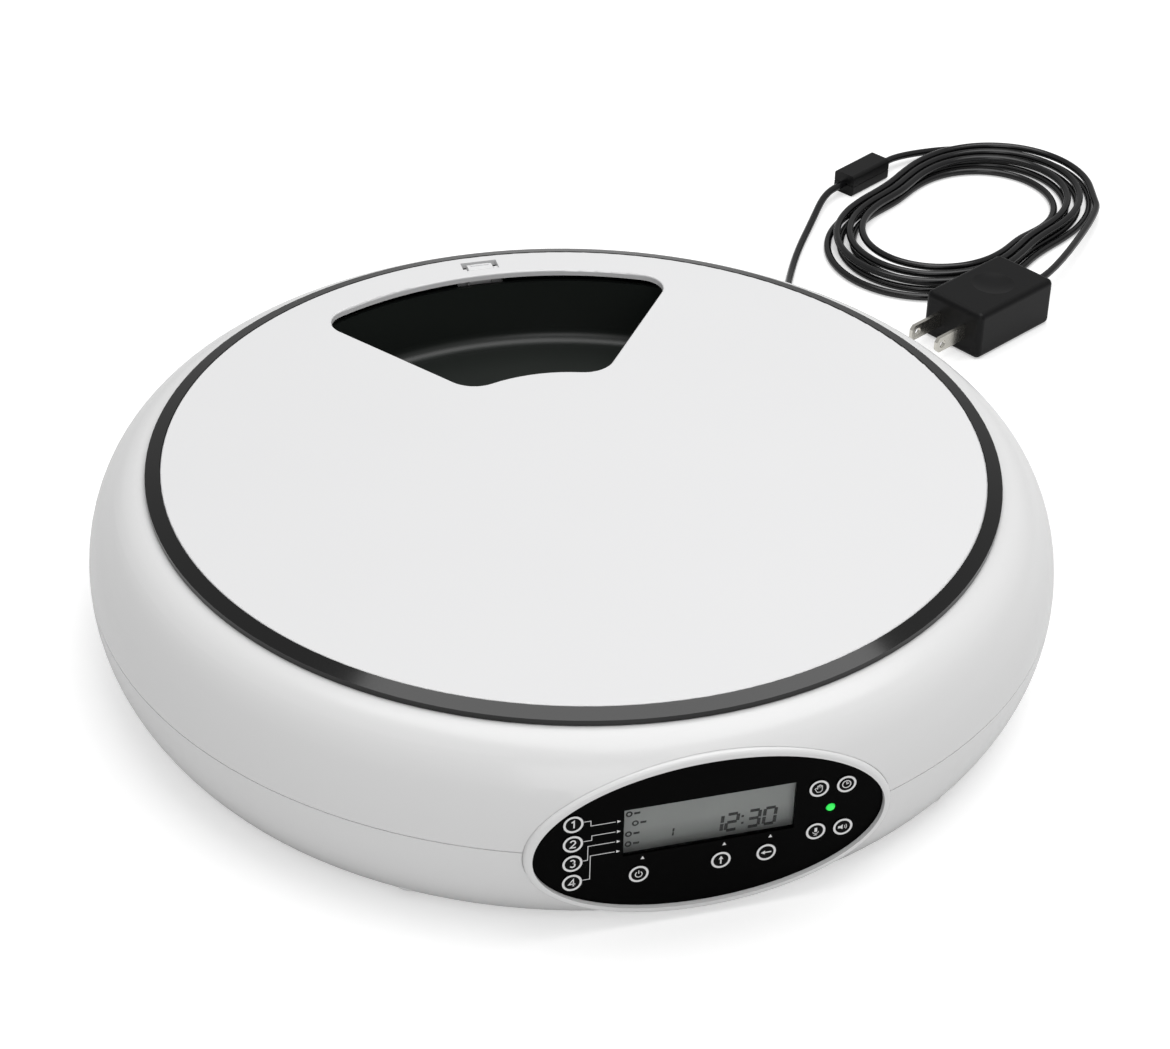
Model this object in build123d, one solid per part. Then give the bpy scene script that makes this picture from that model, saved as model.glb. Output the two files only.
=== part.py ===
"""Automatic pet feeder: a round body with a turning five-meal tray, a lift-off lid and a mains adapter.

Millimetres. The origin is on the floor under the tray's axis, +Z is up and the control panel faces -Y.
"""
from build123d import *
import math
import os

# Body
BODY_R = 160.0            # largest radius, at the seam between the two mouldings
SEAM_Z = 34.0             # height of that seam
BODY_TOP = 65.7           # flat rim that the lid lies on
RIM_LAND = 10.3           # from the well's wall to the start of the rounded shoulder
FLANK_R = 50.0            # curve of the lower body, seen in section
STAND = 2.0               # gap under the body, filled by the feet
WALL = 2.2                # moulded wall
EDGE_ROUND = 2.5          # rounding where the flank meets the underside
SEAM_LINE = 0.4           # width and depth of the shadow line at the seam
TONGUE_W = 1.6            # lip of the base that locates the upper moulding
TONGUE_H = 2.6
SNUG = 0.15               # clearance of pieces that are fitted by hand
LOOSE = 0.4               # clearance of pieces that lift out

# Well for the tray
WELL_FLOOR = 35.0
WELL_ROUND = 4.0
RIM_ROUND = 1.5

# Front with the control panel
PANEL_W = 108.6           # black oval
PANEL_H = 53.6
PANEL_T = 2.0
PANEL_LEDGE = 1.2         # strip of the seat that the oval rests on
BEZEL_W = 2.3
BEZEL_T = 3.5
BEZEL_ROUND = 1.5
BEZEL_LIFT = 0.8          # bezel above the underside
SEAT_SPARE = 2.2          # flat left beside the bezel's ends

# Display and indicator. Places on the panel are shares of its width and height, from its middle
LCD_W = 53.0
LCD_H = 17.5
LCD_SPOT = (0.0, 0.0746)
LCD_FLANGE = 1.7
LCD_FRAME = 2.5
LCD_SUNK = 0.8            # display surface below the panel's face
LED_R = 1.5
LED_SPOT = (0.349, 0.0131)

# Keys
KEY_R = 3.1
KEY_PROUD = 0.4
KEY_FLANGE = 0.45
KEY_FLANGE_T = 1.0
KEY_STEM_R = 1.6
KEY_TRAVEL = 0.6
KEY_SPARE = 0.2           # air left at full travel
MEALS = 4
MEAL_SPOT = (-0.3867, 0.2052)
MEAL_STEP = -0.1381       # from one meal key down to the next
ROW_UP = -0.2276          # row under the display
ROW_ACROSS = {"power": -0.198, "hour": 0.0368, "minute": 0.1676}
RIGHT_ACROSS = (0.3085, 0.3877)
RIGHT_UP = (0.1716, -0.1353)

# Control board behind the panel
BOARD_DEPTH = 7.8         # from the back of the panel to the board
BOARD_T = 1.6
BOARD_GAP = 1.0           # board edge to the cut-out behind the panel
BOARD_BACK = 5.6          # air between the board's screws and the well
SWITCH = 6.0
SWITCH_T = 3.4
PLUNGER_R = 1.75
BOSS_R = 2.0
BOSS_SPOTS = ((-0.4466, 0.0), (0.4466, 0.0), (0.0, 0.3825), (0.0, -0.388))
MIC_R = 3.0
MIC_T = 3.3
MIC_SPOT = (-0.0875, -0.2985)

# Lid
LID_LAP = 5.0             # reach of the lid's plate past the well's wall
LID_TOP = 69.3
LID_T = 2.2
LID_SEAT = 0.2            # air between the resting lid and the rim
LID_EDGE = 0.6
RIM_W = 5.0               # black ring round the lid
RIM_DROP = 1.5            # fall of the ring towards its edge
RIM_FLANGE_T = 1.0        # part of the ring that lies under the plate
SKIRT_T = 2.0
SKIRT_DROP = 4.0          # reach of the ring's skirt below the rim
KEY_RIB_W = 6.0           # rib on the well that keeps the lid from turning
KEY_RIB_T = 1.7

# Food opening in the lid, over one of the compartments
COMPARTMENTS = 5
OPEN_HUB = 7.0            # inner edge of the opening from the bowl's inner wall
OPEN_INSET = 0.9          # outer edge of the opening inside the bowl's wall
OPEN_SIDE = 8.0           # side of the opening inside the partition's middle line
OPEN_ROUND_OUT = 9.0
OPEN_ROUND_IN = 11.0

# Latch in the lid
WINDOW_IN = 4.8           # inner edge of the window from the well's wall
WINDOW_L = 6.0
WINDOW_W = 13.2
TAB_W = 9.2
TAB_GAP = 0.4
TAB_L = 4.1
TAB_T = 1.9
TAB_SUNK = 0.1
PIVOT_IN = 1.5            # pivot axis from the window's inner edge
PIVOT_DOWN = 2.7          # pivot axis below the lid's top
PIN_R = 0.8
KNUCKLE_R = 1.5
LUG_T = 1.5
ARM_T = 1.3
ARM_W = 8.0
HOOK_Z = 59.6
HOOK_H = 1.8
HOOK_AIR = 0.35           # nose to the wall of the well
KEEPER_DEPTH = 1.6
KEEPER_W = 10.0
KEEPER_H = 3.6
KEEPER_PAD = 2.0

# Tray: a turning plate with five bowls
TRAY_AIR = 4.0            # between the plate and the well's wall
TRAY_LIFT = 1.2           # air under the plate
TRAY_WALL = 1.8
TRAY_LIP = 1.2            # low edge that keeps the bowls in place
HUB_TOP = 61.0
SOCKET_WALL = 4.0
BOWL_TOP = 64.3
BOWL_WALL = 1.6
BOWL_GAP = 0.8            # between neighbouring bowls
BOWL_IN = 44.0            # radius of the inner wall's inside
BOWL_ROUND_OUT = 10.0
BOWL_ROUND_IN = 8.0
BOWL_ROUND_FLOOR = 5.0

# Drive under the well
MODULE = 0.9
PINION_TEETH = 14
WHEEL_TEETH = 42
OUTPUT_TEETH = 70
ADDENDUM = 0.8            # share of the module above the pitch circle
DEDENDUM = 1.05
PRESSURE = math.radians(20.0)
BACKLASH = 0.2
IDLER_DIR = 210.0         # direction from the tray's axis to the idler
MOTOR_DIR = 250.0         # direction from the idler to the motor
BRACKET_Z = 17.0
BRACKET_T = 1.8
GEAR_GAP = 0.8            # air above the bracket
WHEEL_T = 4.0
OUTPUT_T = 5.0
GEAR_STEP = 1.0           # wheel to output gear
GEAR_HUB_R = 8.0
GEAR_HUB_DROP = 3.0
SPINDLE_R = 4.0
SPINDLE_FLAT = 3.2        # flat from the axis, where the gear is held
RUN = 0.15                # running clearance of shafts
COLLAR_AIR = 0.2          # spindle's collar above its bush
BUSH_WALL = 2.0
BUSH_FLANGE = 2.0
BUSH_FLANGE_T = 0.8
BUSH_BOSS_WALL = 3.0
BUSH_BOSS_H = 1.0
BUSH_BOSS_DROP = 2.8
SHOULDER_R = 11.0         # collar of the spindle that carries the tray
SHOULDER_T = 1.6
HEX_FLATS = 14.0
HEX_H = 9.4
STEP_BOSS_WALL = 4.0      # lower bearing of the spindle
STEP_BOSS_H = 9.6
STEP_SOLE = 1.6
IDLER_PIN_R = 1.5
PIN_BOSS_WALL = 2.0
MOTOR_R = 12.2
MOTOR_H = 12.2
MOTOR_BOSS_R = 3.0
SHAFT_R = 1.0
SHAFT_IN = 2.2
CUP_WALL = 1.6
CUP_H = 4.6
BRACKET_RIM = 3.6
POST_R = 4.0
SCREW_AWAY = 17.5         # bracket screws from the motor's axis
BRACKET_SCREW_DIRS = (165.0, 335.0)

# Screws
SCREW_R = 1.2
SCREW_HEAD_R = 2.6
SCREW_HEAD_H = 1.6
SCREW_SLOT = 0.7
SMALL_SCREW_R = 1.0
SMALL_HEAD_R = 2.0
CASE_POST_R = 5.0
CASE_POST_DIRS = (15.0, 90.0, 165.0, 235.0, 305.0)
CASE_SCREW_SEAT = 22.0
CASE_SCREW_BITE = 10.0

# Battery bay under the base
CELL_D = 26.2
CELL_L = 50.0
CELLS = 3
CELL_PLAY = 1.0
BAY_IN = 114.0            # front end of the bay from the body's edge
BAY_SPARE_L = 10.0
BAY_SKIN = 1.2
DOOR_T = 2.0
DOOR_LEDGE = 2.0
DOOR_EAR_R = 7.0
DOOR_BOSS_H = 9.0
DOOR_TAB_W = 8.0
DOOR_TAB_L = 3.0
DOOR_TAB_T = 1.0
DOOR_TAB_X = 25.0
CONTACT_W = 14.0
CONTACT_T = 0.5
SPRING_WIRE = 0.9
SPRING_R = 5.0
SPRING_PITCH = 2.2
SPRING_TURNS = 3

# Speaker under the base
SPEAKER_DIR = -40.8
SPEAKER_IN = 83.4         # from the body's edge
SPEAKER_R = 18.0
SPEAKER_RIM_T = 2.6
MAGNET_R = 9.0
MAGNET_H = 5.0
GRILLE_HOLE_R = 1.25
GRILLE_PITCH = 4.4
GRILLE_RINGS = 3

# Feet
FOOT_R = 8.0
FOOT_IN = 32.0            # outer feet from the body's edge
FOOT_DIRS = (45.0, 135.0, 225.0, 315.0)
FOOT_SUNK = 1.2
FOOT_ROUND = 0.8

# Socket and plug of the low-voltage cord
JACK_DIR = 51.0
JACK_Z = 14.0
JACK_W = 11.0
JACK_L = 13.0
JACK_NOSE_R = 5.4
JACK_NOSE_L = 2.4
JACK_BORE_R = 2.9
JACK_BORE_L = 9.5
JACK_PIN_R = 1.0
PLUG_R = 5.0
PLUG_L = 23.0
PLUG_TAPER_L = 10.0
PLUG_BARREL_R = 2.75
PLUG_BARREL_L = 9.0
PLUG_BARREL_BORE = 1.25

# Cord
CORD_D = 3.0
CORD_BEND = 0.45          # share of the shorter run that a bend takes
CORD_STRAIGHT = 13.0      # straight run where the cord leaves a piece or the coil
CORD_AIR = 0.2            # under the cord where it lies
FERRITE_L = 24.0
FERRITE_W = 10.5
FERRITE_H = 9.6
FERRITE_ROUND = 1.6
FERRITE_SPLIT = 0.3
FERRITE_FROM = (89.6, 132.5) # places of the cord's pieces are from the plug's end
FERRITE_DIR = 31.0

# Coil of spare cord
COIL_FROM = (116.0, 86.7)
COIL_OUT = 56.0           # to the middle of the cord
COIL_IN = 40.0
COIL_OVAL = 0.29          # share by which the coil is longer one way and shorter the other
COIL_OVAL_DIR = 36.6
COIL_BACK = 3.3           # turns of the lower layer, where the cord turns back and climbs
COIL_SHIFT = (3.0, 2.0)   # upper layer from the lower
COIL_STEPS = 84           # pairs of arcs along the coil
COIL_START = 60.0
COIL_SWEEP = 2220.0       # degrees, clockwise seen from above
COIL_LIFT = 3.7           # from layer to layer
COIL_CLIMB = 0.2          # turns before and after the turn back

# Wall adapter
ADAPTER_FROM = (76.1, -5.2)
ADAPTER_DIR = 28.0
ADAPTER_L = 45.0
ADAPTER_W = 28.5
ADAPTER_H = 20.0
ADAPTER_ROUND = 2.4
DIMPLE_AT = 24.0
DIMPLE_R = 8.5
DIMPLE_DEPTH = 1.0
BLADE_L = 17.0
BLADE_H = 6.35
BLADE_T = 1.5
BLADE_PITCH = 12.7
BLADE_HOLE_R = 1.6
BLADE_HOLE_IN = 3.4
BLADE_ROOT = 4.0
SLEEVE_R = 3.2
SLEEVE_END_R = 2.3
SLEEVE_L = 9.0
SLEEVE_STRAIGHT = 10.0    # straight run of the cord behind the sleeve

# Values that follow from the sizes above
FLAT_Y = math.sqrt(BODY_R ** 2 - (PANEL_W / 2 + BEZEL_W + SEAT_SPARE) ** 2)
FACET = BODY_R - FLAT_Y
PANEL_Z = STAND + BEZEL_LIFT + BEZEL_W + PANEL_H / 2
WELL_R = FLAT_Y - BOARD_DEPTH - BOARD_T - SCREW_HEAD_H - BOARD_BACK - WALL
SHOULDER = BODY_R - WELL_R - RIM_LAND
INNER_FLOOR = STAND + WALL
PANEL = Plane(origin=(0, -FLAT_Y, PANEL_Z), x_dir=(1, 0, 0), z_dir=(0, -1, 0))
FLOOR_UNDER = WELL_FLOOR - WALL
CASE_POST_RING = (WELL_R + WALL + BODY_R - WALL) / 2
LID_R = WELL_R + LID_LAP
LID_UNDER = LID_TOP - LID_T
SKIRT_R = WELL_R - LOOSE
SKIRT_Z = BODY_TOP - SKIRT_DROP
RIM_SEAT = BODY_TOP + LID_SEAT
TRAY_FLOOR = WELL_FLOOR + TRAY_LIFT
TRAY_R = WELL_R - TRAY_AIR
BOWL_Z = TRAY_FLOOR + TRAY_WALL
BOWL_R = TRAY_R - TRAY_WALL - LOOSE
OPEN_IN = BOWL_IN + OPEN_HUB
OPEN_OUT = BOWL_R - BOWL_WALL - OPEN_INSET
BUSH_TOP = WELL_FLOOR + BUSH_BOSS_H + BUSH_FLANGE_T
COLLAR_Z = BUSH_TOP + COLLAR_AIR
HEX_Z = COLLAR_Z + SHOULDER_T
PINION_R = MODULE * PINION_TEETH / 2
WHEEL_R = MODULE * WHEEL_TEETH / 2
OUTPUT_R = MODULE * OUTPUT_TEETH / 2
WHEEL_Z = BRACKET_Z + BRACKET_T + GEAR_GAP
OUTPUT_Z = WHEEL_Z + WHEEL_T + GEAR_STEP
BAY_W = CELLS * (CELL_D + CELL_PLAY)
BAY_L = CELL_L + BAY_SPARE_L
BAY_Y = BODY_R - BAY_IN
BAY_TOP = INNER_FLOOR + CELL_D + CELL_PLAY / 2
DOOR_TOP = STAND + DOOR_T
EAR_Y = BAY_Y + BAY_L + DOOR_LEDGE + DOOR_EAR_R / 2
WINDOW_Y = WELL_R - WINDOW_IN
PIVOT_Y = WINDOW_Y + PIVOT_IN
PIVOT_Z = LID_TOP - PIVOT_DOWN
UP = (Align.CENTER, Align.CENTER, Align.MIN)


def polar(radius, degrees):
    """Plan position at a radius and direction from the axis."""
    return radius * math.cos(math.radians(degrees)), radius * math.sin(math.radians(degrees))


def beside(point, radius, degrees):
    """Plan position at a distance and direction from another."""
    dx, dy = polar(radius, degrees)
    return point[0] + dx, point[1] + dy


IDLER_AT = polar(OUTPUT_R + PINION_R, IDLER_DIR)
MOTOR_AT = beside(IDLER_AT, WHEEL_R + PINION_R, MOTOR_DIR)
BRACKET_POSTS = [beside(MOTOR_AT, SCREW_AWAY, direction) for direction in BRACKET_SCREW_DIRS]
CASE_POSTS = [polar(CASE_POST_RING, direction) for direction in CASE_POST_DIRS]
FOOT_PLACES = [(0.0, 0.0)] + [polar(BODY_R - FOOT_IN, direction) for direction in FOOT_DIRS]
SPEAKER_AT = polar(BODY_R - SPEAKER_IN, SPEAKER_DIR)


def rod(radius, bottom, top, at=(0.0, 0.0)):
    """Upright cylinder between two heights."""
    return Pos(at[0], at[1], bottom) * Cylinder(radius, top - bottom, align=UP)


def block(x, y, z):
    """Box between two limits along each axis."""
    middle = Pos((x[0] + x[1]) / 2, (y[0] + y[1]) / 2, (z[0] + z[1]) / 2)
    return middle * Box(x[1] - x[0], y[1] - y[0], z[1] - z[0])


def turned(*points):
    """Solid turned about the upright axis from (radius, height) points."""
    return revolve(Plane.XZ * make_face(Polyline(*points, close=True)), Axis.Z)


def ring(inner, outer, bottom, top):
    """Plain ring about the upright axis."""
    return rod(outer, bottom, top) - rod(inner, bottom, top)


def behind_flat(solid, inset):
    """Part of a solid behind the panel's seat, moved in by a wall."""
    return split(solid, Plane((0, inset - FLAT_Y, 0), z_dir=(0, 1, 0)), keep=Keep.TOP)


def oval(width, height, back, front):
    """Oval plate parallel to the panel, between two depths from its seat."""
    return PANEL * extrude(Pos(0, 0, back) * Ellipse(width / 2, height / 2), front - back)


def stud(radius, back, front, at):
    """Round peg square to the panel."""
    return PANEL * (Pos(at[0], at[1], back) * Cylinder(radius, front - back, align=UP))


def spot(across, up):
    """Place on the panel from shares of its width and height."""
    return across * PANEL_W, up * PANEL_H


LCD_AT = spot(*LCD_SPOT)
LED_AT = spot(*LED_SPOT)
MIC_AT = spot(*MIC_SPOT)
BOSS_AT = [spot(*share) for share in BOSS_SPOTS]


def plate(width, height, back, front, at=(0.0, 0.0)):
    """Rectangular plate parallel to the panel."""
    return PANEL * (Pos(at[0], at[1], back) * Box(width, height, front - back, align=UP))


def sector(inner, outer, side, round_in, round_out):
    """Face of one compartment, centred on +Y, with its sides set in from the partitions' middle lines."""
    half = math.pi / COMPARTMENTS
    corners = []
    for radius in (inner, outer):
        along = math.sqrt(radius ** 2 - side ** 2)
        x = along * math.sin(half) - side * math.cos(half)
        y = along * math.cos(half) + side * math.sin(half)
        corners.append((x, y))
    (xi, yi), (xo, yo) = corners
    edges = [
        Line((xi, yi), (xo, yo)),
        ThreePointArc((xo, yo), (0, outer), (-xo, yo)),
        Line((-xo, yo), (-xi, yi)),
        ThreePointArc((-xi, yi), (0, inner), (xi, yi)),
    ]
    face = make_face(edges)
    by_height = face.vertices().sort_by(Axis.Y)
    face = fillet(by_height[-2:], round_out)
    return fillet(face.vertices().sort_by(Axis.Y).filter_by(lambda v: abs(abs(v.X) - xi) < 1e-6), round_in)


def upper_form(inset):
    """Solid of the upper body, its surface set in by a wall."""
    top = BODY_TOP - inset
    middle = BODY_R - SHOULDER
    edges = [
        Line((0, SEAM_Z), (BODY_R - inset, SEAM_Z)),
        EllipticalCenterArc((middle, SEAM_Z), SHOULDER - inset, top - SEAM_Z, 0, arc_size=90),
        Line((middle, top), (0, top)),
        Line((0, top), (0, SEAM_Z)),
    ]
    return revolve(Plane.XZ * make_face(edges), Axis.Z)


def flank(z, inset):
    """Point of the lower body's section at a height."""
    reach = FLANK_R - inset
    return BODY_R - FLANK_R + math.sqrt(reach ** 2 - (SEAM_Z - z) ** 2), z


def base_form(inset):
    """Solid of the lower body, its surface set in by a wall."""
    under = STAND + inset
    edges = [
        Line((0, under), flank(under, inset)),
        ThreePointArc(flank(under, inset), flank((under + SEAM_Z) / 2, inset), flank(SEAM_Z, inset)),
        Line(flank(SEAM_Z, inset), (0, SEAM_Z)),
        Line((0, SEAM_Z), (0, under)),
    ]
    solid = revolve(Plane.XZ * make_face(edges), Axis.Z)
    rim = solid.edges().filter_by(GeomType.CIRCLE).sort_by(Axis.Z)[0]
    return fillet(rim, max(EDGE_ROUND - inset, WALL / 4))


def seam_groove():
    """Shadow line round the seam."""
    half = SEAM_LINE / 2
    return ring(BODY_R - SEAM_LINE, BODY_R + SEAM_LINE, SEAM_Z - half, SEAM_Z + half)


def panel_recess():
    """Shallow oval pocket in the front that the bezel sits in."""
    grow = 2 * (BEZEL_W + 2 * SNUG)
    return oval(PANEL_W + grow, PANEL_H + grow, 0, FACET + WALL)


def panel_cutout():
    """Hole in the pocket's floor behind the panel."""
    return oval(PANEL_W - 2 * PANEL_LEDGE, PANEL_H - 2 * PANEL_LEDGE, -2 * WALL, WALL)


def well_space():
    """Space of the well, rounded at its floor and flared over the rim."""
    floor_end = WELL_R - WELL_ROUND
    lip_start = BODY_TOP - RIM_ROUND
    edges = [
        Line((0, WELL_FLOOR), (floor_end, WELL_FLOOR)),
        JernArc((floor_end, WELL_FLOOR), (1, 0), WELL_ROUND, 90),
        Line((WELL_R, WELL_FLOOR + WELL_ROUND), (WELL_R, lip_start)),
        JernArc((WELL_R, lip_start), (0, 1), RIM_ROUND, -90),
        Line((WELL_R + RIM_ROUND, BODY_TOP), (0, BODY_TOP)),
        Line((0, BODY_TOP), (0, WELL_FLOOR)),
    ]
    return revolve(Plane.XZ * make_face(edges), Axis.Z)


def upper_shell():
    """Upper moulding: domed skin, rim and the well that the tray turns in."""
    skin = upper_form(0) - panel_recess() - behind_flat(upper_form(WALL), WALL)
    cup = rod(WELL_R + WALL, FLOOR_UNDER, BODY_TOP)
    cup = fillet(cup.edges().sort_by(Axis.Z)[0], WELL_ROUND + WALL / 2)
    shell = skin + cup
    for post in CASE_POSTS:
        shell += rod(CASE_POST_R - SNUG, SEAM_Z, BODY_TOP, post) & upper_form(WALL / 2)
    shell += rod(SPINDLE_R + RUN + BUSH_WALL + BUSH_BOSS_WALL, FLOOR_UNDER - BUSH_BOSS_DROP, FLOOR_UNDER)
    shell += rod(IDLER_PIN_R + RUN + PIN_BOSS_WALL, FLOOR_UNDER - WALL, FLOOR_UNDER, IDLER_AT)
    pad_z = (HOOK_Z - KEEPER_H, BODY_TOP - WALL / 2)
    shell += block((-KEEPER_W, KEEPER_W), (WELL_R, WELL_R + WALL + KEEPER_PAD), pad_z)
    shell -= well_space()
    rib_out = WELL_R + WALL / 2
    rib_z = (WELL_FLOOR + WALL, BODY_TOP - WALL)
    shell += block((-KEY_RIB_W / 2, KEY_RIB_W / 2), (-rib_out, KEY_RIB_T - WELL_R), rib_z)
    boss_top = WELL_FLOOR + BUSH_BOSS_H
    shell += rod(SPINDLE_R + RUN + BUSH_WALL + BUSH_BOSS_WALL, FLOOR_UNDER, boss_top)
    shell -= rod(SPINDLE_R + RUN + BUSH_WALL + SNUG / 3, 0, boss_top)
    shell -= rod(IDLER_PIN_R + SNUG / 3, 0, FLOOR_UNDER, IDLER_AT)
    for post in CASE_POSTS:
        shell -= rod(SCREW_R + SNUG / 3, SEAM_Z, SEAM_Z + CASE_SCREW_BITE + WALL, post)
    slot_y = (WELL_R - WALL, WELL_R + KEEPER_DEPTH)
    slot_z = (HOOK_Z - (KEEPER_H - HOOK_H) / 2, HOOK_Z + (KEEPER_H + HOOK_H) / 2)
    shell -= block((-KEEPER_W / 2, KEEPER_W / 2), slot_y, slot_z)
    return shell - panel_cutout() - seam_groove()


def grille():
    """Holes in the underside below the speaker."""
    places = [(0.0, 0.0)]
    for row in range(1, GRILLE_RINGS):
        places += [polar(row * GRILLE_PITCH, 60.0 * step / row) for step in range(6 * row)]
    holes = [rod(GRILLE_HOLE_R, 0, INNER_FLOOR, (SPEAKER_AT[0] + x, SPEAKER_AT[1] + y)) for x, y in places]
    return Compound(holes)


def bay_box(grow, bottom, top):
    """Block of the battery bay, grown sideways."""
    return block((-BAY_W / 2 - grow, BAY_W / 2 + grow), (BAY_Y - grow, BAY_Y + BAY_L + grow), (bottom, top))


def door_tabs(grow, front, bottom, top):
    """Two tongues at the front end of the battery door."""
    tabs = []
    for x in (-DOOR_TAB_X, DOOR_TAB_X):
        wide = DOOR_TAB_W / 2 + grow
        tabs.append(block((x - wide, x + wide), (front - DOOR_TAB_L - grow, front), (bottom, top)))
    return Compound(tabs)


def jack_frame():
    """Frame of the cord's socket, with Z along the cord, outwards."""
    outward = polar(1.0, JACK_DIR)
    return Plane(origin=(0, 0, JACK_Z), x_dir=(-outward[1], outward[0], 0), z_dir=(outward[0], outward[1], 0))


def jack_rod(radius, start, end):
    """Cylinder along the socket's axis."""
    return jack_frame() * (Pos(0, 0, start) * Cylinder(radius, end - start, align=UP))


JACK_FACE = flank(JACK_Z, 0)[0] - JACK_NOSE_L / 2


def base_shell():
    """Lower moulding: flank, underside, posts, battery bay and bearing of the spindle."""
    shell = base_form(0) - panel_recess() - behind_flat(base_form(WALL), WALL)
    lip_out = BODY_R - WALL - LOOSE
    lip = ring(lip_out - TONGUE_W, lip_out, SEAM_Z - TONGUE_H, SEAM_Z + TONGUE_H)
    lip += ring(lip_out - TONGUE_W, BODY_R - WALL / 2, SEAM_Z - TONGUE_H, SEAM_Z)
    shell += behind_flat(lip & rod(BODY_R - WALL / 2, 0, BODY_TOP), WALL + LOOSE)
    for post in CASE_POSTS:
        shell += rod(CASE_POST_R, STAND + WALL / 2, SEAM_Z, post)
    for post in BRACKET_POSTS:
        shell += rod(POST_R, STAND + WALL / 2, BRACKET_Z, post)
    shell += rod(IDLER_PIN_R + POST_R, STAND + WALL / 2, BRACKET_Z, IDLER_AT)
    shell += rod(SPINDLE_R + RUN + STEP_BOSS_WALL, STAND + WALL / 2, INNER_FLOOR + STEP_BOSS_H)
    cup = rod(MOTOR_R + SNUG + CUP_WALL, STAND + WALL / 2, INNER_FLOOR + CUP_H, MOTOR_AT)
    shell += cup - rod(MOTOR_R + SNUG, INNER_FLOOR, INNER_FLOOR + CUP_H, MOTOR_AT)
    seat = rod(SPEAKER_R + SNUG + CUP_WALL, STAND + WALL / 2, INNER_FLOOR + CUP_H, SPEAKER_AT)
    shell += seat - rod(SPEAKER_R + SNUG, INNER_FLOOR, INNER_FLOOR + CUP_H, SPEAKER_AT)
    shell += bay_box(DOOR_LEDGE, STAND + WALL / 2, BAY_TOP + BAY_SKIN)
    shell += rod(DOOR_EAR_R + DOOR_LEDGE, STAND, DOOR_TOP + DOOR_BOSS_H, (0, EAR_Y))
    shell -= bay_box(0, 0, BAY_TOP)
    shell -= bay_box(DOOR_LEDGE, 0, DOOR_TOP + SNUG)
    shell -= rod(DOOR_EAR_R, 0, DOOR_TOP + SNUG, (0, EAR_Y))
    shell -= door_tabs(SNUG, BAY_Y - DOOR_LEDGE + SNUG, DOOR_TOP - DOOR_TAB_T - SNUG, INNER_FLOOR + SNUG)
    shell -= rod(SCREW_R + SNUG / 3, 0, DOOR_TOP + DOOR_BOSS_H - WALL, (0, EAR_Y))
    shell -= rod(SPINDLE_R + RUN, STAND + STEP_SOLE + WALL, SEAM_Z)
    shell -= rod(IDLER_PIN_R + SNUG / 3, INNER_FLOOR + WALL, SEAM_Z, IDLER_AT)
    for post in BRACKET_POSTS:
        shell -= rod(SCREW_R + SNUG / 3, INNER_FLOOR + WALL, SEAM_Z, post)
    for post in CASE_POSTS:
        shell -= rod(SCREW_R + SNUG, 0, SEAM_Z, post)
        shell -= rod(SCREW_HEAD_R + LOOSE, 0, CASE_SCREW_SEAT, post)
    for at in FOOT_PLACES:
        shell -= rod(FOOT_R + SNUG, 0, STAND + FOOT_SUNK, at)
    shell -= jack_rod(JACK_NOSE_R + SNUG, JACK_FACE - JACK_NOSE_L - WALL, BODY_R)
    return shell - grille() - panel_cutout() - seam_groove()


def rubber_feet():
    """Soft feet let into the underside, one of them under the spindle."""
    foot = rod(FOOT_R, 0, STAND + FOOT_SUNK)
    foot = fillet(foot.edges().sort_by(Axis.Z)[0], FOOT_ROUND)
    return [Pos(*at) * foot for at in FOOT_PLACES]


def screw(seat, tip, at, shank=SCREW_R, head=SCREW_HEAD_R):
    """Pan-head screw pointing up, its head under the seat."""
    low = seat - SCREW_HEAD_H
    body = rod(shank, seat, tip, at) + rod(head, low, seat, at)
    slot = block((at[0] - head, at[0] + head), (at[1] - SCREW_SLOT / 2, at[1] + SCREW_SLOT / 2),
                 (low, low + SCREW_SLOT))
    return body - slot


def housing_screws():
    """Screws that hold the two mouldings together."""
    return [screw(CASE_SCREW_SEAT, SEAM_Z + CASE_SCREW_BITE, post) for post in CASE_POSTS]


def tray_plate():
    """Turning plate with a low edge for the bowls and a hollow hub that fits over the spindle."""
    hub_r = BOWL_IN - BOWL_WALL - LOOSE
    tray = rod(TRAY_R, TRAY_FLOOR, BOWL_Z) + ring(BOWL_R + LOOSE, TRAY_R, BOWL_Z, BOWL_Z + TRAY_LIP)
    tray += rod(hub_r, TRAY_FLOOR, HUB_TOP)
    tray = fillet(tray.edges().filter_by(GeomType.CIRCLE).sort_by(Axis.Z)[-1], TRAY_WALL)
    socket_r = HEX_FLATS / math.sqrt(3) + SOCKET_WALL
    tray -= rod(hub_r - TRAY_WALL, 0, HUB_TOP - TRAY_WALL) - rod(socket_r, 0, HUB_TOP)
    tray -= rod(SHOULDER_R + LOOSE, 0, HEX_Z + SNUG)
    return tray - hex_bar(HEX_FLATS + 2 * SNUG, HEX_Z, HEX_Z + HEX_H + LOOSE)


def wedge(inset, floor):
    """Rounded wedge of a bowl, its sides and floor set in by a wall."""
    face = sector(BOWL_IN - BOWL_WALL + inset, BOWL_R - inset, BOWL_GAP / 2 + inset,
                  BOWL_ROUND_IN + BOWL_WALL - inset, BOWL_ROUND_OUT + BOWL_WALL - inset)
    solid = extrude(Pos(0, 0, floor) * face, BOWL_TOP - floor)
    return fillet(solid.faces().sort_by(Axis.Z)[0].edges(), BOWL_ROUND_FLOOR + BOWL_WALL - inset)


def meal_bowl(place):
    """One of the bowls that lift off the turning plate."""
    bowl = wedge(0, BOWL_Z) - wedge(BOWL_WALL, BOWL_Z + BOWL_WALL)
    return Rot(0, 0, 360.0 / COMPARTMENTS * place) * bowl


def hex_bar(flats, bottom, top):
    """Upright six-sided bar."""
    return Pos(0, 0, bottom) * extrude(RegularPolygon(flats / 2, 6, major_radius=False), top - bottom)


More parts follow.
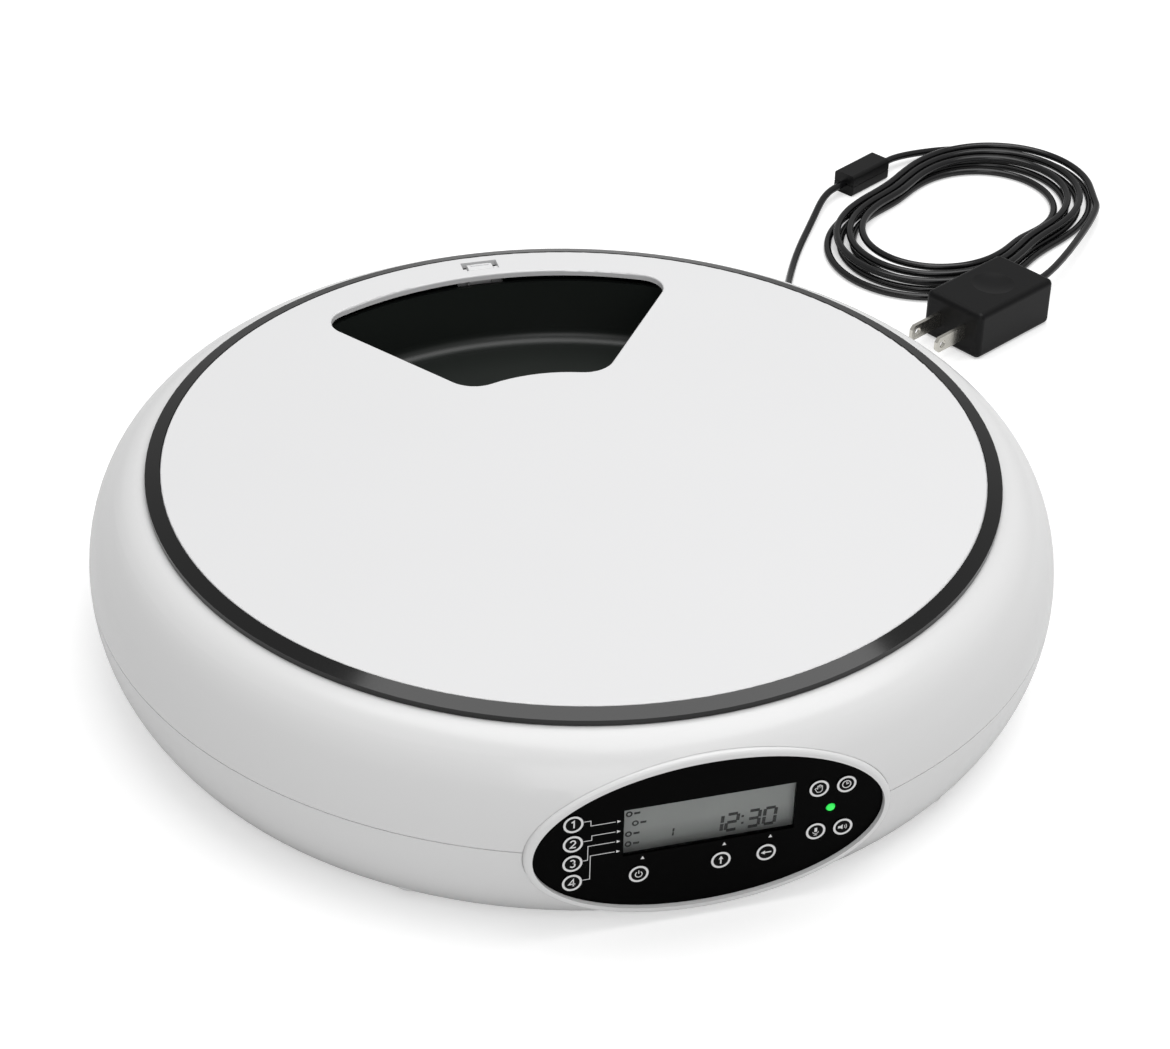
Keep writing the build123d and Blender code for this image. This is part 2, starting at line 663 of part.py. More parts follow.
def d_bore(radius, flat_at, bottom, top):
    """Round bar with one flat."""
    return rod(radius, bottom, top) - block((flat_at, 2 * radius), (-radius, radius), (bottom, top))


def drive_spindle():
    """Upright spindle: foot, flat for the gear, collar and six-sided head under the tray."""
    spindle = rod(SPINDLE_R, STAND + STEP_SOLE + WALL + SNUG, COLLAR_Z)
    low = OUTPUT_Z - GEAR_HUB_DROP
    spindle -= block((SPINDLE_FLAT, SPINDLE_R), (-SPINDLE_R, SPINDLE_R), (low, OUTPUT_Z + OUTPUT_T))
    spindle += rod(SHOULDER_R, COLLAR_Z, HEX_Z)
    return spindle + hex_bar(HEX_FLATS, HEX_Z, HEX_Z + HEX_H)


def involute(angle):
    """Involute function of a pressure angle."""
    return math.tan(angle) - angle


def gear_face(teeth, phase):
    """Face of a spur gear, one tooth pointing in the given direction."""
    pitch_r = MODULE * teeth / 2
    base_r = pitch_r * math.cos(PRESSURE)
    tip_r = pitch_r + ADDENDUM * MODULE
    root_r = pitch_r - DEDENDUM * MODULE
    half_pitch = math.pi / (2 * teeth) - BACKLASH / (4 * pitch_r)

    def half_width(radius):
        angle = math.acos(min(1.0, base_r / radius))
        return half_pitch + involute(PRESSURE) - involute(angle)

    def place(radius, angle):
        return radius * math.cos(angle), radius * math.sin(angle)

    low_r = max(base_r, root_r)
    mid_r = (low_r + tip_r) / 2
    edges = []
    for tooth in range(teeth):
        middle = math.radians(phase) + 2 * math.pi * tooth / teeth
        start = middle - half_width(low_r)
        end = middle + half_width(low_r)
        rise = [place(r, middle - half_width(r)) for r in (low_r, mid_r, tip_r)]
        fall = [place(r, middle + half_width(r)) for r in (tip_r, mid_r, low_r)]
        gap_end = start + 2 * math.pi / teeth
        if root_r < low_r:
            edges.append(Line(place(root_r, start), rise[0]))
        edges.append(ThreePointArc(*rise))
        edges.append(ThreePointArc(rise[2], place(tip_r, middle), fall[0]))
        edges.append(ThreePointArc(*fall))
        if root_r < low_r:
            edges.append(Line(fall[2], place(root_r, end)))
        gap = [place(root_r, angle) for angle in (end, (end + gap_end) / 2, gap_end)]
        edges.append(ThreePointArc(*gap))
    return make_face(edges)


def gear(teeth, phase, bottom, top, at=(0.0, 0.0)):
    """Spur gear between two heights."""
    return Pos(at[0], at[1], bottom) * extrude(gear_face(teeth, phase), top - bottom)


def output_gear():
    """Large gear, held on the spindle's flat."""
    top = OUTPUT_Z + OUTPUT_T
    low = OUTPUT_Z - GEAR_HUB_DROP
    wheel = gear(OUTPUT_TEETH, IDLER_DIR, OUTPUT_Z, top) + rod(GEAR_HUB_R, low, top)
    return wheel - d_bore(SPINDLE_R + SNUG / 3, SPINDLE_FLAT + SNUG / 3, low, top)


def idler_gear():
    """Wheel and pinion in one, turning on a fixed pin."""
    half_tooth = 180.0 / PINION_TEETH
    body = gear(WHEEL_TEETH, MOTOR_DIR, WHEEL_Z, WHEEL_Z + WHEEL_T, IDLER_AT)
    top = OUTPUT_Z + OUTPUT_T + SNUG
    body += gear(PINION_TEETH, IDLER_DIR + 180.0 + half_tooth, WHEEL_Z + WHEEL_T, top, IDLER_AT)
    return body - rod(IDLER_PIN_R + RUN, WHEEL_Z, top, IDLER_AT)


def idler_pin():
    """Fixed pin of the idler, from the base to the underside of the well."""
    return rod(IDLER_PIN_R, INNER_FLOOR + WALL + SNUG, FLOOR_UNDER - SNUG, IDLER_AT)


def motor_pinion():
    """Pinion on the motor's shaft."""
    half_tooth = 180.0 / PINION_TEETH
    motor_top = BRACKET_Z
    pinion = gear(PINION_TEETH, MOTOR_DIR + 180.0 + half_tooth, WHEEL_Z, WHEEL_Z + WHEEL_T, MOTOR_AT)
    return pinion + rod(SHAFT_R, motor_top - SHAFT_IN, WHEEL_Z, MOTOR_AT)


def gear_motor():
    """Small can motor with its reduction inside, standing in a cup of the base."""
    can = rod(MOTOR_R, BRACKET_Z - MOTOR_H, BRACKET_Z, MOTOR_AT)
    can = fillet(can.edges().sort_by(Axis.Z)[0], SHAFT_R)
    can += rod(MOTOR_BOSS_R, BRACKET_Z, BRACKET_Z + BRACKET_T - SNUG, MOTOR_AT)
    return can - rod(SHAFT_R + RUN, BRACKET_Z - SHAFT_IN - RUN, BRACKET_Z + BRACKET_T, MOTOR_AT)


def drive_bracket():
    """Steel plate over the motor, with the idler's pin through it."""
    rims = Sketch() + [Pos(*post) * Circle(POST_R) for post in BRACKET_POSTS]
    rims += Pos(*MOTOR_AT) * Circle(MOTOR_R + BRACKET_RIM / 2)
    rims += Pos(*IDLER_AT) * Circle(POST_R + IDLER_PIN_R)
    bracket = extrude(Pos(0, 0, BRACKET_Z) * make_hull(rims.edges()), BRACKET_T)
    top = BRACKET_Z + BRACKET_T
    bracket -= rod(MOTOR_BOSS_R + SNUG, BRACKET_Z, top, MOTOR_AT)
    bracket -= rod(IDLER_PIN_R + SNUG / 3, BRACKET_Z, top, IDLER_AT)
    for post in BRACKET_POSTS:
        bracket -= rod(SCREW_R + SNUG, BRACKET_Z, top, post)
    return bracket


def bracket_screws():
    """Screws of the bracket, heads on top."""
    seat = BRACKET_Z + BRACKET_T
    screws = []
    for post in BRACKET_POSTS:
        screws.append(rod(SCREW_R, INNER_FLOOR + 2 * WALL, seat, post)
                      + rod(SCREW_HEAD_R - LOOSE, seat, seat + GEAR_GAP - SNUG, post))
    return screws


def spindle_bush():
    """Flanged bush in the floor of the well."""
    outer = SPINDLE_R + RUN + BUSH_WALL
    seat = WELL_FLOOR + BUSH_BOSS_H
    bush = rod(outer, FLOOR_UNDER - BUSH_BOSS_DROP, seat) + rod(outer + BUSH_FLANGE, seat, BUSH_TOP)
    return bush - rod(SPINDLE_R + RUN, 0, BUSH_TOP)


def lid_plate():
    """Flat lid with one food opening, and a window with two lugs for the latch."""
    lid = rod(LID_R, LID_UNDER, LID_TOP)
    lid -= extrude(sector(OPEN_IN, OPEN_OUT, OPEN_SIDE, OPEN_ROUND_IN, OPEN_ROUND_OUT), LID_TOP)
    lid = fillet(lid.faces().sort_by(Axis.Z)[-1].edges(), LID_EDGE)
    half = WINDOW_W / 2
    lid -= block((-half, half), (WINDOW_Y, WINDOW_Y + WINDOW_L), (LID_UNDER, LID_TOP))
    inner = TAB_W / 2 + TAB_GAP
    for side in (-1, 1):
        x = sorted((side * inner, side * (half + LUG_T)))
        lid += block(x, (WINDOW_Y, WINDOW_Y + 2 * PIVOT_IN), (PIVOT_Z - KNUCKLE_R, LID_TOP - TAB_T / 2))
    return lid - latch_rod(PIN_R + SNUG / 3, half + LUG_T / 2)


def latch_rod(radius, reach):
    """Cylinder along the latch's pivot."""
    return Pos(0, PIVOT_Y, PIVOT_Z) * Rot(0, 90, 0) * Cylinder(radius, 2 * reach)


def lid_rim():
    """Glossy ring round the lid, with a flange under the plate and a skirt that finds the well."""
    inner = LID_R + SNUG
    outer = LID_R + RIM_W
    flange_top = RIM_SEAT + RIM_FLANGE_T
    band = turned((inner, LID_TOP), (outer, LID_TOP - RIM_DROP), (outer, RIM_SEAT), (SKIRT_R, RIM_SEAT),
                  (SKIRT_R, SKIRT_Z), (SKIRT_R - SKIRT_T, SKIRT_Z), (SKIRT_R - SKIRT_T, flange_top),
                  (inner, flange_top))
    gap = WINDOW_W / 2 + LUG_T + LOOSE
    band -= block((-gap, gap), (0, WINDOW_Y + WINDOW_L + LOOSE), (SKIRT_Z, flange_top))
    slot = KEY_RIB_W / 2 + LOOSE
    return band - block((-slot, slot), (-LID_R, 0), (SKIRT_Z, RIM_SEAT))


def lid_latch():
    """Press tab on a pivot, with a hook that reaches down beside the well's wall."""
    top = LID_TOP - TAB_SUNK
    tab_y = WINDOW_Y + TAB_GAP
    half = TAB_W / 2
    tab = block((-half, half), (tab_y, tab_y + TAB_L), (top - TAB_T, top))
    tab = fillet(tab.faces().sort_by(Axis.Z)[-1].edges(), LID_EDGE / 2)
    grip_y = tab_y + TAB_L - 2 * TAB_GAP
    grip_z = (top - TAB_T / 2, top + TAB_GAP)
    tab += block((-half + ARM_T, half - ARM_T), (grip_y - TAB_GAP * 2, grip_y), grip_z)
    tab += latch_rod(KNUCKLE_R, half)
    nose_y = WELL_R - HOOK_AIR
    arm_y = (tab_y + TAB_L - 2 * ARM_T, tab_y + TAB_L - ARM_T)
    tab += block((-ARM_W / 2, ARM_W / 2), arm_y, (HOOK_Z, top - TAB_T / 2))
    tab += block((-ARM_W / 2, ARM_W / 2), (arm_y[0], nose_y), (HOOK_Z, HOOK_Z + HOOK_H))
    return tab - latch_rod(PIN_R + SNUG / 3, half)


def latch_pin():
    """Steel pin of the latch."""
    return latch_rod(PIN_R, WINDOW_W / 2 + LUG_T / 2 - SNUG)


def panel_bezel():
    """White oval frame round the panel."""
    outer = oval(PANEL_W + 2 * (SNUG + BEZEL_W), PANEL_H + 2 * (SNUG + BEZEL_W), 0, BEZEL_T)
    front = outer.faces().sort_by(Axis.Y)[0].edges()
    outer = fillet(front, BEZEL_ROUND)
    return outer - oval(PANEL_W + 2 * SNUG, PANEL_H + 2 * SNUG, 0, BEZEL_T)


def key_places():
    """Name and panel position of every key."""
    across, up = MEAL_SPOT
    places = {f"key_meal_{n + 1}": spot(across, up + MEAL_STEP * n) for n in range(MEALS)}
    places.update({f"key_{name}": spot(share, ROW_UP) for name, share in ROW_ACROSS.items()})
    names = ("manual", "timer", "record", "play")
    spots = [spot(share, up) for up in RIGHT_UP for share in RIGHT_ACROSS]
    places.update({f"key_{name}": at for name, at in zip(names, spots)})
    return places


def panel_fascia():
    """Black oval face with holes for the display, the indicator and the keys."""
    face = oval(PANEL_W, PANEL_H, 0, PANEL_T)
    face -= plate(LCD_W, LCD_H, 0, PANEL_T, LCD_AT)
    face -= stud(LED_R + SNUG, 0, PANEL_T, LED_AT)
    for at in key_places().values():
        face -= stud(KEY_R + SNUG, 0, PANEL_T, at)
    for at in BOSS_AT:
        face += stud(BOSS_R, -BOARD_DEPTH, 0, at) - stud(SMALL_SCREW_R + SNUG / 3, -BOARD_DEPTH, -WALL, at)
    return face


def lcd_window():
    """Clear pane of the display, flanged behind the panel."""
    pane = plate(LCD_W - 2 * SNUG, LCD_H - 2 * SNUG, -SNUG, PANEL_T - LCD_SUNK, LCD_AT)
    grow = 2 * LCD_FLANGE
    return pane + plate(LCD_W + grow, LCD_H + grow, -SNUG - KEY_FLANGE_T, -SNUG, LCD_AT)


def lcd_module():
    """Display cell and its frame, on the board."""
    grow = 2 * LCD_FRAME
    front = -2 * SNUG - KEY_FLANGE_T
    return plate(LCD_W + grow, LCD_H + grow, -BOARD_DEPTH, front, LCD_AT)


def led_lens():
    """Round lens of the indicator, standing on the board."""
    lens = stud(LED_R, -BOARD_DEPTH, PANEL_T + SNUG, LED_AT)
    return fillet(lens.faces().sort_by(Axis.Y)[0].edges(), LED_R / 2)


def key(at):
    """Key cap with a flange behind the panel and a stem towards its switch."""
    cap = stud(KEY_R, -SNUG - KEY_FLANGE_T, PANEL_T + KEY_PROUD, at)
    cap = fillet(cap.faces().sort_by(Axis.Y)[0].edges(), KEY_PROUD / 2)
    cap += stud(KEY_R + KEY_FLANGE, -SNUG - KEY_FLANGE_T, -SNUG, at)
    end = SWITCH_T + LOOSE + KEY_TRAVEL + KEY_SPARE - BOARD_DEPTH
    return cap + stud(KEY_STEM_R, end, -SNUG, at)


def control_board():
    """Circuit board, screwed to the back of the panel."""
    grow = -2 * (PANEL_LEDGE + BOARD_GAP)
    board = oval(PANEL_W + grow, PANEL_H + grow, -BOARD_DEPTH - BOARD_T, -BOARD_DEPTH)
    for at in BOSS_AT:
        board -= stud(SMALL_SCREW_R + SNUG, -BOARD_DEPTH - BOARD_T, -BOARD_DEPTH, at)
    return board


def board_screws():
    """Screws through the board into the panel's bosses."""
    back = -BOARD_DEPTH - BOARD_T
    return [stud(SMALL_SCREW_R, back, -2 * WALL, at) + stud(SMALL_HEAD_R, back - SCREW_HEAD_H, back, at)
            for at in BOSS_AT]


def key_switches():
    """One small switch behind every key."""
    front = SWITCH_T - BOARD_DEPTH
    return [plate(SWITCH, SWITCH, -BOARD_DEPTH, front, at) + stud(PLUNGER_R, front, front + LOOSE, at)
            for at in key_places().values()]


def microphone():
    """Microphone capsule on the board."""
    return stud(MIC_R, -BOARD_DEPTH, MIC_T - BOARD_DEPTH, MIC_AT)


def speaker():
    """Loudspeaker over the grille: rim, cone housing and magnet."""
    rim_top = INNER_FLOOR + SPEAKER_RIM_T
    body = rod(SPEAKER_R, INNER_FLOOR, rim_top, SPEAKER_AT)
    cone = Pos(*SPEAKER_AT, rim_top) * Cone(SPEAKER_R - CUP_WALL, MAGNET_R, MAGNET_H / 2, align=UP)
    magnet_z = rim_top + MAGNET_H / 2
    return body + cone + rod(MAGNET_R, magnet_z, magnet_z + MAGNET_H, SPEAKER_AT)


def battery_door():
    """Cover of the battery bay: tongues at the front, an ear with a screw at the back."""
    door = bay_box(DOOR_LEDGE - LOOSE / 2, STAND, DOOR_TOP)
    door += rod(DOOR_EAR_R - LOOSE / 2, STAND, DOOR_TOP, (0, EAR_Y))
    door += door_tabs(0, BAY_Y - DOOR_LEDGE + LOOSE, DOOR_TOP - DOOR_TAB_T, DOOR_TOP)
    door -= rod(SCREW_R + SNUG, STAND, DOOR_TOP, (0, EAR_Y))
    return door - rod(SCREW_HEAD_R + SNUG, STAND, STAND + DOOR_T - LOOSE, (0, EAR_Y))


def door_screw():
    """Screw of the battery door, sunk in its ear."""
    return screw(STAND + DOOR_T - LOOSE, DOOR_TOP + DOOR_BOSS_H - 2 * WALL, (0, EAR_Y))


def lanes():
    """Middle of each cell across the bay."""
    step = CELL_D + CELL_PLAY
    return [step * (n - (CELLS - 1) / 2) for n in range(CELLS)]


def battery_contacts():
    """Flat contacts at both ends of the bay."""
    middle = INNER_FLOOR + CELL_D / 2
    half = CONTACT_W / 2
    contacts = []
    for x in lanes():
        for y in (BAY_Y, BAY_Y + BAY_L - CONTACT_T):
            contacts.append(block((x - half, x + half), (y, y + CONTACT_T), (middle - half, middle + half)))
    return contacts


def battery_springs():
    """Coil springs on the front contacts."""
    middle = INNER_FLOOR + CELL_D / 2
    start = BAY_Y + CONTACT_T + SPRING_WIRE / 2
    springs = []
    for x in lanes():
        path = Helix(SPRING_PITCH, SPRING_PITCH * SPRING_TURNS, SPRING_R, (x, start, middle), (0, 1, 0))
        springs.append(sweep(Plane(path @ 0, z_dir=path % 0) * Circle(SPRING_WIRE / 2), path))
    return springs


def power_jack():
    """Low-voltage socket, standing on the base behind its hole in the flank."""
    nose = JACK_FACE - JACK_NOSE_L
    reach = flank(INNER_FLOOR, WALL)[0] - SNUG
    low = INNER_FLOOR - JACK_Z
    body = Pos(0, (low + JACK_NOSE_R) / 2, nose - JACK_L) * Box(JACK_W, JACK_NOSE_R - low, JACK_L, align=UP)
    jack = (jack_frame() * body) & rod(reach, 0, SEAM_Z)
    jack += jack_rod(JACK_NOSE_R, nose - JACK_L / 2, JACK_FACE)
    jack -= jack_rod(JACK_BORE_R, JACK_FACE - JACK_BORE_L, JACK_FACE)
    return jack + jack_rod(JACK_PIN_R, JACK_FACE - JACK_BORE_L - WALL / 2, JACK_FACE - WALL)


PLUG_END = JACK_FACE + SNUG + PLUG_L + PLUG_TAPER_L


def dc_plug():
    """Plug of the cord: barrel in the socket, grip and tapered sleeve."""
    face = JACK_FACE + SNUG
    barrel = jack_rod(PLUG_BARREL_R, face - PLUG_BARREL_L, face)
    barrel -= jack_rod(PLUG_BARREL_BORE, face - PLUG_BARREL_L, face)
    grip = jack_rod(PLUG_R, face, face + PLUG_L)
    taper = Pos(0, 0, face + PLUG_L) * Cone(PLUG_R - LOOSE, SLEEVE_END_R, PLUG_TAPER_L, align=UP)
    return barrel + grip + jack_frame() * taper


def heading(degrees, length):
    """Level step in a direction."""
    return Vector(*polar(length, degrees), 0)


def cord_path(points, name):
    """Straight runs joined by the largest arcs that they allow."""
    points = [Vector(*point) for point in points]
    radii = []
    for before, here, after in zip(points, points[1:], points[2:]):
        run_in = here - before
        run_out = after - here
        half_turn = math.radians(run_in.get_angle(run_out)) / 2
        radii.append(CORD_BEND * min(run_in.length, run_out.length) / math.tan(half_turn))
    print(name, "bend radii", [round(radius, 1) for radius in radii])
    return FilletPolyline(*points, radius=radii)


def cord_tube(path, name):
    """Round cord along a path, with its volume compared with its length."""
    section = Plane(path @ 0, z_dir=path % 0) * Circle(CORD_D / 2)
    tube = sweep(section, path)
    expected = math.pi * CORD_D ** 2 / 4 * path.length
    print(name, "length", round(path.length, 1), "volume share", round(tube.volume / expected, 4))
    return tube


PLUG_AT = polar(PLUG_END, JACK_DIR)
LIE_Z = CORD_D / 2 + CORD_AIR


def laid(x, y, up=0.0):
    """Point of the cord from the plug's end, raised above where it lies on the floor."""
    return Vector(PLUG_AT[0] + x, PLUG_AT[1] + y, LIE_Z + up)


FERRITE_AT = (PLUG_AT[0] + FERRITE_FROM[0], PLUG_AT[1] + FERRITE_FROM[1])
COIL_AT = (PLUG_AT[0] + COIL_FROM[0], PLUG_AT[1] + COIL_FROM[1])
ADAPTER_AT = (PLUG_AT[0] + ADAPTER_FROM[0], PLUG_AT[1] + ADAPTER_FROM[1])
FERRITE_Z = FERRITE_H / 2
FERRITE_START = Vector(*FERRITE_AT, FERRITE_Z) - heading(FERRITE_DIR, FERRITE_L / 2)
FERRITE_END = Vector(*FERRITE_AT, FERRITE_Z) + heading(FERRITE_DIR, FERRITE_L / 2)


def cord_lead():
    """Cord from the plug, down to the floor and up to the ferrite."""
    exit_at = Vector(*PLUG_AT, JACK_Z)
    points = [
        exit_at,
        exit_at + heading(JACK_DIR, CORD_STRAIGHT),
        laid(17.8, 26.6, 8.3),
        laid(29.6, 54.9, 1.3),
        laid(41.6, 78.9),
        laid(56.1, 101.4, 0.8),
        FERRITE_START - heading(FERRITE_DIR, CORD_STRAIGHT),
        FERRITE_START,
    ]
    return cord_tube(cord_path(points, "cord_lead"), "cord_lead")


def ferrite_half(low, high):
    """Half of the clamp-on ferrite, between two heights from its parting plane."""
    frame = Plane(origin=(*FERRITE_AT, FERRITE_Z), x_dir=heading(FERRITE_DIR, 1), z_dir=(0, 0, 1))
    case = Box(FERRITE_L, FERRITE_W, FERRITE_H)
    case = fillet(case.edges().filter_by(Axis.X), FERRITE_ROUND)
    half = case & Pos(0, 0, low) * Box(FERRITE_L, FERRITE_W, high - low, align=UP)
    return frame * half


def ferrite_upper():
    """Upper half of the clamp-on ferrite."""
    return ferrite_half(FERRITE_SPLIT / 2, FERRITE_H / 2)


def ferrite_lower():
    """Lower half of the clamp-on ferrite."""
    return ferrite_half(-FERRITE_H / 2, -FERRITE_SPLIT / 2)


COIL_TURNS = COIL_SWEEP / 360.0


def coil_point(turns):
    """Middle of the cord after a number of turns: it spirals in, climbs and spirals out again."""
    past = turns - COIL_BACK
    away = abs(past)
    level = float(past > 0)
    if away < COIL_CLIMB:
        share = (past + COIL_CLIMB) / (2 * COIL_CLIMB)
        level = share * share * (3 - 2 * share)
        away = past * past / (2 * COIL_CLIMB) + COIL_CLIMB / 2
    radius = COIL_IN + (COIL_OUT - COIL_IN) * away / (COIL_TURNS / 2)
    direction = COIL_START - 360.0 * turns
    radius *= 1 + COIL_OVAL * math.cos(2 * math.radians(direction - COIL_OVAL_DIR))
    x, y = beside(COIL_AT, radius, direction)
    return Vector(x + COIL_SHIFT[0] * level, y + COIL_SHIFT[1] * level, LIE_Z + COIL_LIFT * level)


def coil_heading(turns):
    """Direction of the cord after a number of turns."""
    step = 1e-4
    return (coil_point(turns + step) - coil_point(turns - step)).normalized()


def biarc(start, start_way, end, end_way):
    """Two arcs that join two points in given directions."""
    across = end - start
    ways = start_way + end_way
    bend = 2 * (1 - start_way.dot(end_way))
    along = across.dot(ways)
    reach = (math.sqrt(along ** 2 + bend * across.dot(across)) - along) / bend
    meet = (start + end + (start_way - end_way) * reach) / 2
    first = TangentArc(start, meet, tangent=start_way)
    return [first, TangentArc(meet, end, tangent=first % 1)]


def coil_path():
    """Whole coil as one chain of arcs."""
    turns = [COIL_TURNS * step / COIL_STEPS for step in range(COIL_STEPS + 1)]
    edges = []
    way = coil_heading(turns[0])
    for here, there in zip(turns, turns[1:]):
        edges += biarc(coil_point(here), way, coil_point(there), coil_heading(there))
        way = edges[-1] % 1
    return Wire(edges)


def own_gap(path):
    """Least gap between stretches of a cord that aren't neighbours along it."""
    count = round(path.length / CORD_D)
    points = [path @ (n / count) for n in range(count + 1)]
    away = 4
    pairs = ((a, b) for n, a in enumerate(points) for b in points[n + away:])
    return min((a - b).length for a, b in pairs) - CORD_D


def cord_coil():
    """Spare cord, coiled in two layers."""
    path = coil_path()
    print("cord_coil least gap to itself", round(own_gap(path), 2))
    return cord_tube(path, "cord_coil")


def cord_link():
    """Cord from the ferrite to the start of the coil."""
    start = coil_point(0)
    points = [
        FERRITE_END,
        FERRITE_END + heading(FERRITE_DIR, CORD_STRAIGHT),
        start - coil_heading(0) * CORD_STRAIGHT,
        start,
    ]
    return cord_tube(cord_path(points, "cord_link"), "cord_link")


def adapter_frame():
    """Frame of the adapter: X along it from the blades' face, Z up from the floor."""
    return Plane(origin=(*ADAPTER_AT, 0), x_dir=heading(ADAPTER_DIR, 1), z_dir=(0, 0, 1))


SLEEVE_AT = Vector(*beside(ADAPTER_AT, ADAPTER_L + SLEEVE_L, ADAPTER_DIR), ADAPTER_H / 2)


def cord_tail():
    """Cord from the end of the coil to the adapter."""
    end = coil_point(COIL_TURNS)
    points = [
        end,
        end + coil_heading(COIL_TURNS) * CORD_STRAIGHT,
        SLEEVE_AT + heading(ADAPTER_DIR, SLEEVE_STRAIGHT),
        SLEEVE_AT,
    ]
    return cord_tube(cord_path(points, "cord_tail"), "cord_tail")


def adapter_case():
    """Wall adapter's housing with a thumb dimple on top and slots for its blades."""
    case = Pos(ADAPTER_L / 2, 0, 0) * Box(ADAPTER_L, ADAPTER_W, ADAPTER_H, align=UP)
    case = fillet(case.edges(), ADAPTER_ROUND)
    ball = (DIMPLE_R ** 2 + DIMPLE_DEPTH ** 2) / (2 * DIMPLE_DEPTH)
    case -= Pos(DIMPLE_AT, 0, ADAPTER_H + ball - DIMPLE_DEPTH) * Sphere(ball)
    for y in (-BLADE_PITCH / 2, BLADE_PITCH / 2):
        high = BLADE_H / 2 + SNUG / 3
        thick = BLADE_T / 2 + SNUG / 3
        middle = ADAPTER_H / 2
        case -= block((0, BLADE_ROOT), (y - thick, y + thick), (middle - high, middle + high))
    return adapter_frame() * case


def adapter_blades():
    """Two flat blades with a hole near the tip."""
    middle = ADAPTER_H / 2
    blades = []
    for y in (-BLADE_PITCH / 2, BLADE_PITCH / 2):
        blade = block((-BLADE_L, BLADE_ROOT), (y - BLADE_T / 2, y + BLADE_T / 2),
                      (middle - BLADE_H / 2, middle + BLADE_H / 2))
        tip = [e for e in blade.edges().filter_by(Axis.Y) if e.center().X < 0]
        blade = chamfer(tip, BLADE_T)
        hole = Pos(BLADE_HOLE_IN - BLADE_L, y, middle) * Rot(90, 0, 0) * Cylinder(BLADE_HOLE_R, 2 * BLADE_T)
        blades.append(adapter_frame() * (blade - hole))
    return blades


def adapter_sleeve():
    """Flexible sleeve where the cord enters the adapter."""
    sleeve = Cone(SLEEVE_R, SLEEVE_END_R, SLEEVE_L, align=UP)
    return adapter_frame() * Pos(ADAPTER_L, 0, ADAPTER_H / 2) * Rot(0, 90, 0) * sleeve


MAKERS = (
    base_shell, upper_shell, rubber_feet, housing_screws, tray_plate, drive_spindle, output_gear, idler_gear,
    idler_pin, motor_pinion, gear_motor, drive_bracket, bracket_screws, spindle_bush, lid_plate, lid_rim,
    lid_latch, latch_pin, panel_bezel, panel_fascia, lcd_window, lcd_module, led_lens, control_board,
    board_screws, key_switches, microphone, speaker, battery_door, door_screw, battery_contacts,
    battery_springs, power_jack, dc_plug, cord_lead, ferrite_upper, ferrite_lower, cord_link, cord_coil,
    cord_tail, adapter_case, adapter_blades, adapter_sleeve,
)

os.makedirs("parts", exist_ok=True)
nodes = {maker.__name__: maker() for maker in MAKERS}
nodes.update({f"meal_bowl_{n + 1}": meal_bowl(n) for n in range(COMPARTMENTS)})
nodes.update({name: key(at) for name, at in key_places().items()})
for name, shape in nodes.items():
    if isinstance(shape, list):
        shape = Compound([solid for piece in shape for solid in piece.solids()])
    shape.label = name
    export_step(shape, f"parts/{name}.step")
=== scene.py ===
"""Automatic pet feeder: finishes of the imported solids, panel prints, display and cord, in metres."""
import math
import bpy
import numpy as np
from mathutils import Matrix, Vector


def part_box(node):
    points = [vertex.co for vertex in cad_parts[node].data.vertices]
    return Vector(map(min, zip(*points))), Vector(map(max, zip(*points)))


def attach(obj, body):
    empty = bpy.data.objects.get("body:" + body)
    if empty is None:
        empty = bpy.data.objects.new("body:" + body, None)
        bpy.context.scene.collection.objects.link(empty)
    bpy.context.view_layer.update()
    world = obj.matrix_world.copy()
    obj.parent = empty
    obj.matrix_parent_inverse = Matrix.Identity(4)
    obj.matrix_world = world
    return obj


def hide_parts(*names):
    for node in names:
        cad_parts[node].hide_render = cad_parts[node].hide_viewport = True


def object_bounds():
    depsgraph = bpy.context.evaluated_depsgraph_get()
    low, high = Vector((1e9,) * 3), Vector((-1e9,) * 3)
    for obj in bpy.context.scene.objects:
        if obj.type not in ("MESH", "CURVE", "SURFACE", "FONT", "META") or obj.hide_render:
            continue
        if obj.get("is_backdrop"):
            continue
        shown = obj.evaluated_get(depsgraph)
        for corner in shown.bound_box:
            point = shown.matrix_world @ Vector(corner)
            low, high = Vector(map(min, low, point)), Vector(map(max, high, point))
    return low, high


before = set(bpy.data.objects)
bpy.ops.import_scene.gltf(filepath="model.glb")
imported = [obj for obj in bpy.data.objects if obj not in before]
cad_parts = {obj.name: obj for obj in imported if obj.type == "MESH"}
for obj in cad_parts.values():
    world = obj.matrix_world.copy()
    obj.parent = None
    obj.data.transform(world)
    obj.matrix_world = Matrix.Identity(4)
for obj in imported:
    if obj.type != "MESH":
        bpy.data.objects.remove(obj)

cad_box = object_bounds()
MM = 0.001

# Base and upper mouldings
# The body is two injection mouldings in glossy white plastic, screwed together from below along a shadow
# line. The same plastic makes the oval frame round the panel and the battery door.
FLOW_SCALE = 14.0         # of the slow drift in tone and gloss


def add_node(tree, kind, values=None, **settings):
    """Shader node with its settings, and its inputs set to values or joined to other sockets."""
    made = tree.nodes.new(kind)
    for name, value in settings.items():
        setattr(made, name, value)
    for name, value in (values or {}).items():
        if isinstance(value, bpy.types.NodeSocket):
            tree.links.new(value, made.inputs[name])
        else:
            made.inputs[name].default_value = value
    return made


